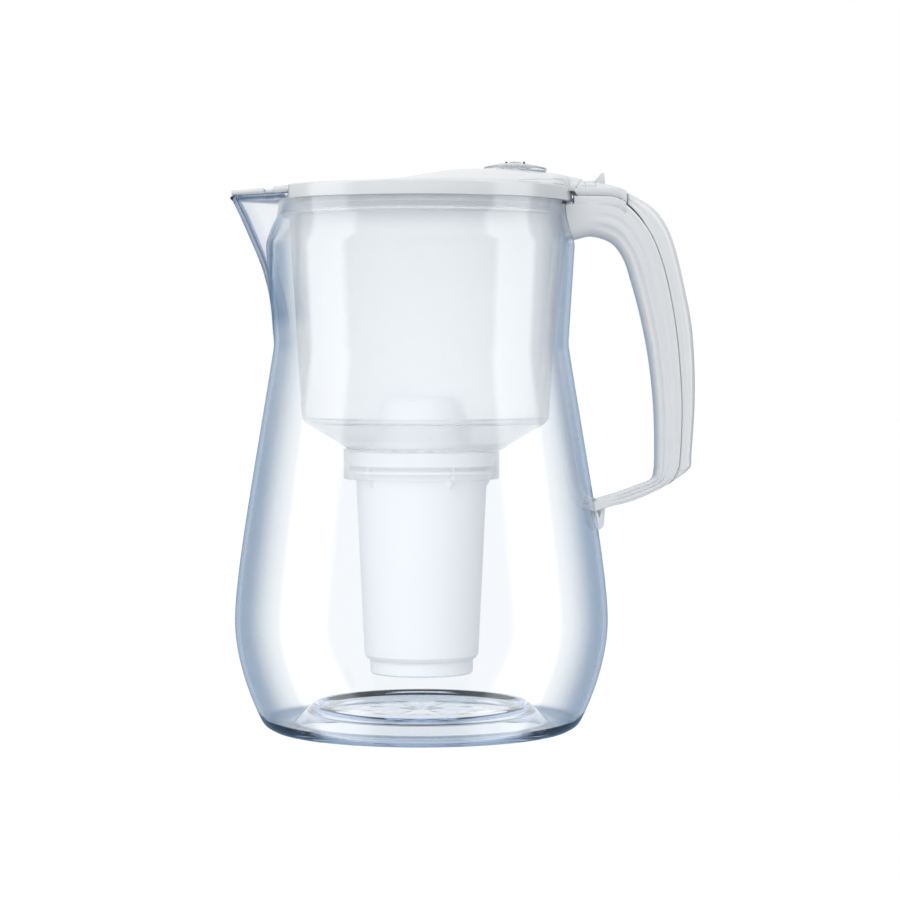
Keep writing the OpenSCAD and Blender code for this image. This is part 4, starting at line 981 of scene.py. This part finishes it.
def studio():
    """White behind the object, for rays seen straight.

    Reflections see a soft box on each side, grey in front, steel blue low behind and white overhead. Matt
    surfaces are lit by a dome that brightens upwards, with a broad bright lobe about FRONT_WAY.
    """
    world = bpy.data.worlds.new("studio")
    bpy.context.scene.world = world
    world.use_nodes = True
    tree = world.node_tree
    tree.nodes.clear()
    way = tree.nodes.new("ShaderNodeTexCoord").outputs["Generated"]
    axes = node(tree, "ShaderNodeSeparateXYZ", {0: way}).outputs
    behind = mix_colour(tree, ramp(tree, axes["Z"], 0.05, 0.16), LOW_BEHIND, HIGH_BEHIND)
    room = mix_colour(tree, ramp(tree, axes["Y"], 0.15, 0.75), IN_FRONT, behind)
    room = mix_colour(tree, ramp(tree, axes["Z"], 0.25, 0.6), room, OVERHEAD)
    box_front = ramp(tree, axes["Y"], -0.58, -0.46)
    box_back = ramp(tree, axes["Y"], 0.0, 0.14, 1.0, 0.0)
    box_side = ramp(tree, maths(tree, "ABSOLUTE", axes["X"]), 0.3, 0.6)
    box = maths(tree, "MULTIPLY", maths(tree, "MULTIPLY", box_front, box_back), box_side)
    mirrored_room = mix_colour(tree, box, room, SIDE_BOXES)
    dome = mix_colour(tree, ramp(tree, axes["Z"], -0.1, 0.9), DOME_LOW, DOME_HIGH)
    toward = node(tree, "ShaderNodeVectorMath", {0: way, 1: FRONT_WAY}, operation="DOT_PRODUCT")
    dome = mix_colour(tree, ramp(tree, toward.outputs["Value"], 0.55, 0.97), dome, DOME_FRONT)
    path = tree.nodes.new("ShaderNodeLightPath").outputs
    seen = mix_colour(tree, path["Is Glossy Ray"], dome, mirrored_room)
    seen = mix_colour(tree, seen_straight(tree), seen, WHITE)
    back = node(tree, "ShaderNodeBackground", {"Color": seen, "Strength": 1.0})
    out = tree.nodes.new("ShaderNodeOutputWorld")
    tree.links.new(back.outputs[0], out.inputs["Surface"])


def floor():
    """A pale floor that keeps the pitcher's soft shadow; reflections look through it at the studio."""
    mesh = bpy.data.meshes.new("floor")
    h = FLOOR_HALF
    mesh.from_pydata([(-h, -h, 0), (h, -h, 0), (h, h, 0), (-h, h, 0)], [], [(0, 1, 2, 3)])
    thing = bpy.data.objects.new("floor", mesh)
    thing.location = (0, 0, -FLOOR_DOWN)
    bpy.context.scene.collection.objects.link(thing)
    m = bpy.data.materials.new("floor")
    m.use_nodes = True
    tree = m.node_tree
    tree.nodes.clear()
    matt = node(tree, "ShaderNodeBsdfDiffuse", {"Color": FLOOR_MATT}).outputs[0]
    glow = node(tree, "ShaderNodeEmission", {"Color": WHITE, "Strength": FLOOR_GLOW}).outputs[0]
    share = maths(tree, "MULTIPLY", seen_straight(tree), GLOW_SHARE)
    both = node(tree, "ShaderNodeMixShader", {0: share, 1: matt, 2: glow}).outputs[0]
    path = tree.nodes.new("ShaderNodeLightPath").outputs
    gone = tree.nodes.new("ShaderNodeBsdfTransparent").outputs[0]
    shown = node(tree, "ShaderNodeMixShader", {0: path["Is Glossy Ray"], 1: both, 2: gone})
    out = tree.nodes.new("ShaderNodeOutputMaterial")
    tree.links.new(shown.outputs[0], out.inputs["Surface"])
    mesh.materials.append(m)


def soft_box(name, place, aim, size, power):
    """A square area light at place, turned to the point aim; it lights matt surfaces and isn't seen."""
    data = bpy.data.lights.new(name, "AREA")
    data.shape = "RECTANGLE"
    data.size, data.size_y = size
    data.energy = power
    thing = bpy.data.objects.new(name, data)
    thing.location = place
    away = [a - b for a, b in zip(aim, place)]
    flat = math.hypot(away[0], away[1])
    thing.rotation_euler = (math.atan2(flat, -away[2]), 0, math.atan2(away[1], away[0]) - math.pi / 2)
    thing.visible_camera = False
    thing.visible_transmission = False
    thing.visible_glossy = False
    bpy.context.scene.collection.objects.link(thing)


camera()
studio()
floor()
soft_box("key", (-0.9, -0.9, 1.1), (0, 0, 0.15), (0.7, 0.7), 2)
scene = bpy.context.scene
scene.view_settings.view_transform = "Standard"
for setting, bounces in (("max_bounces", 24), ("transmission_bounces", 24), ("glossy_bounces", 12)):
    setattr(scene.cycles, setting, bounces)
scene.cycles.transparent_max_bounces = 24
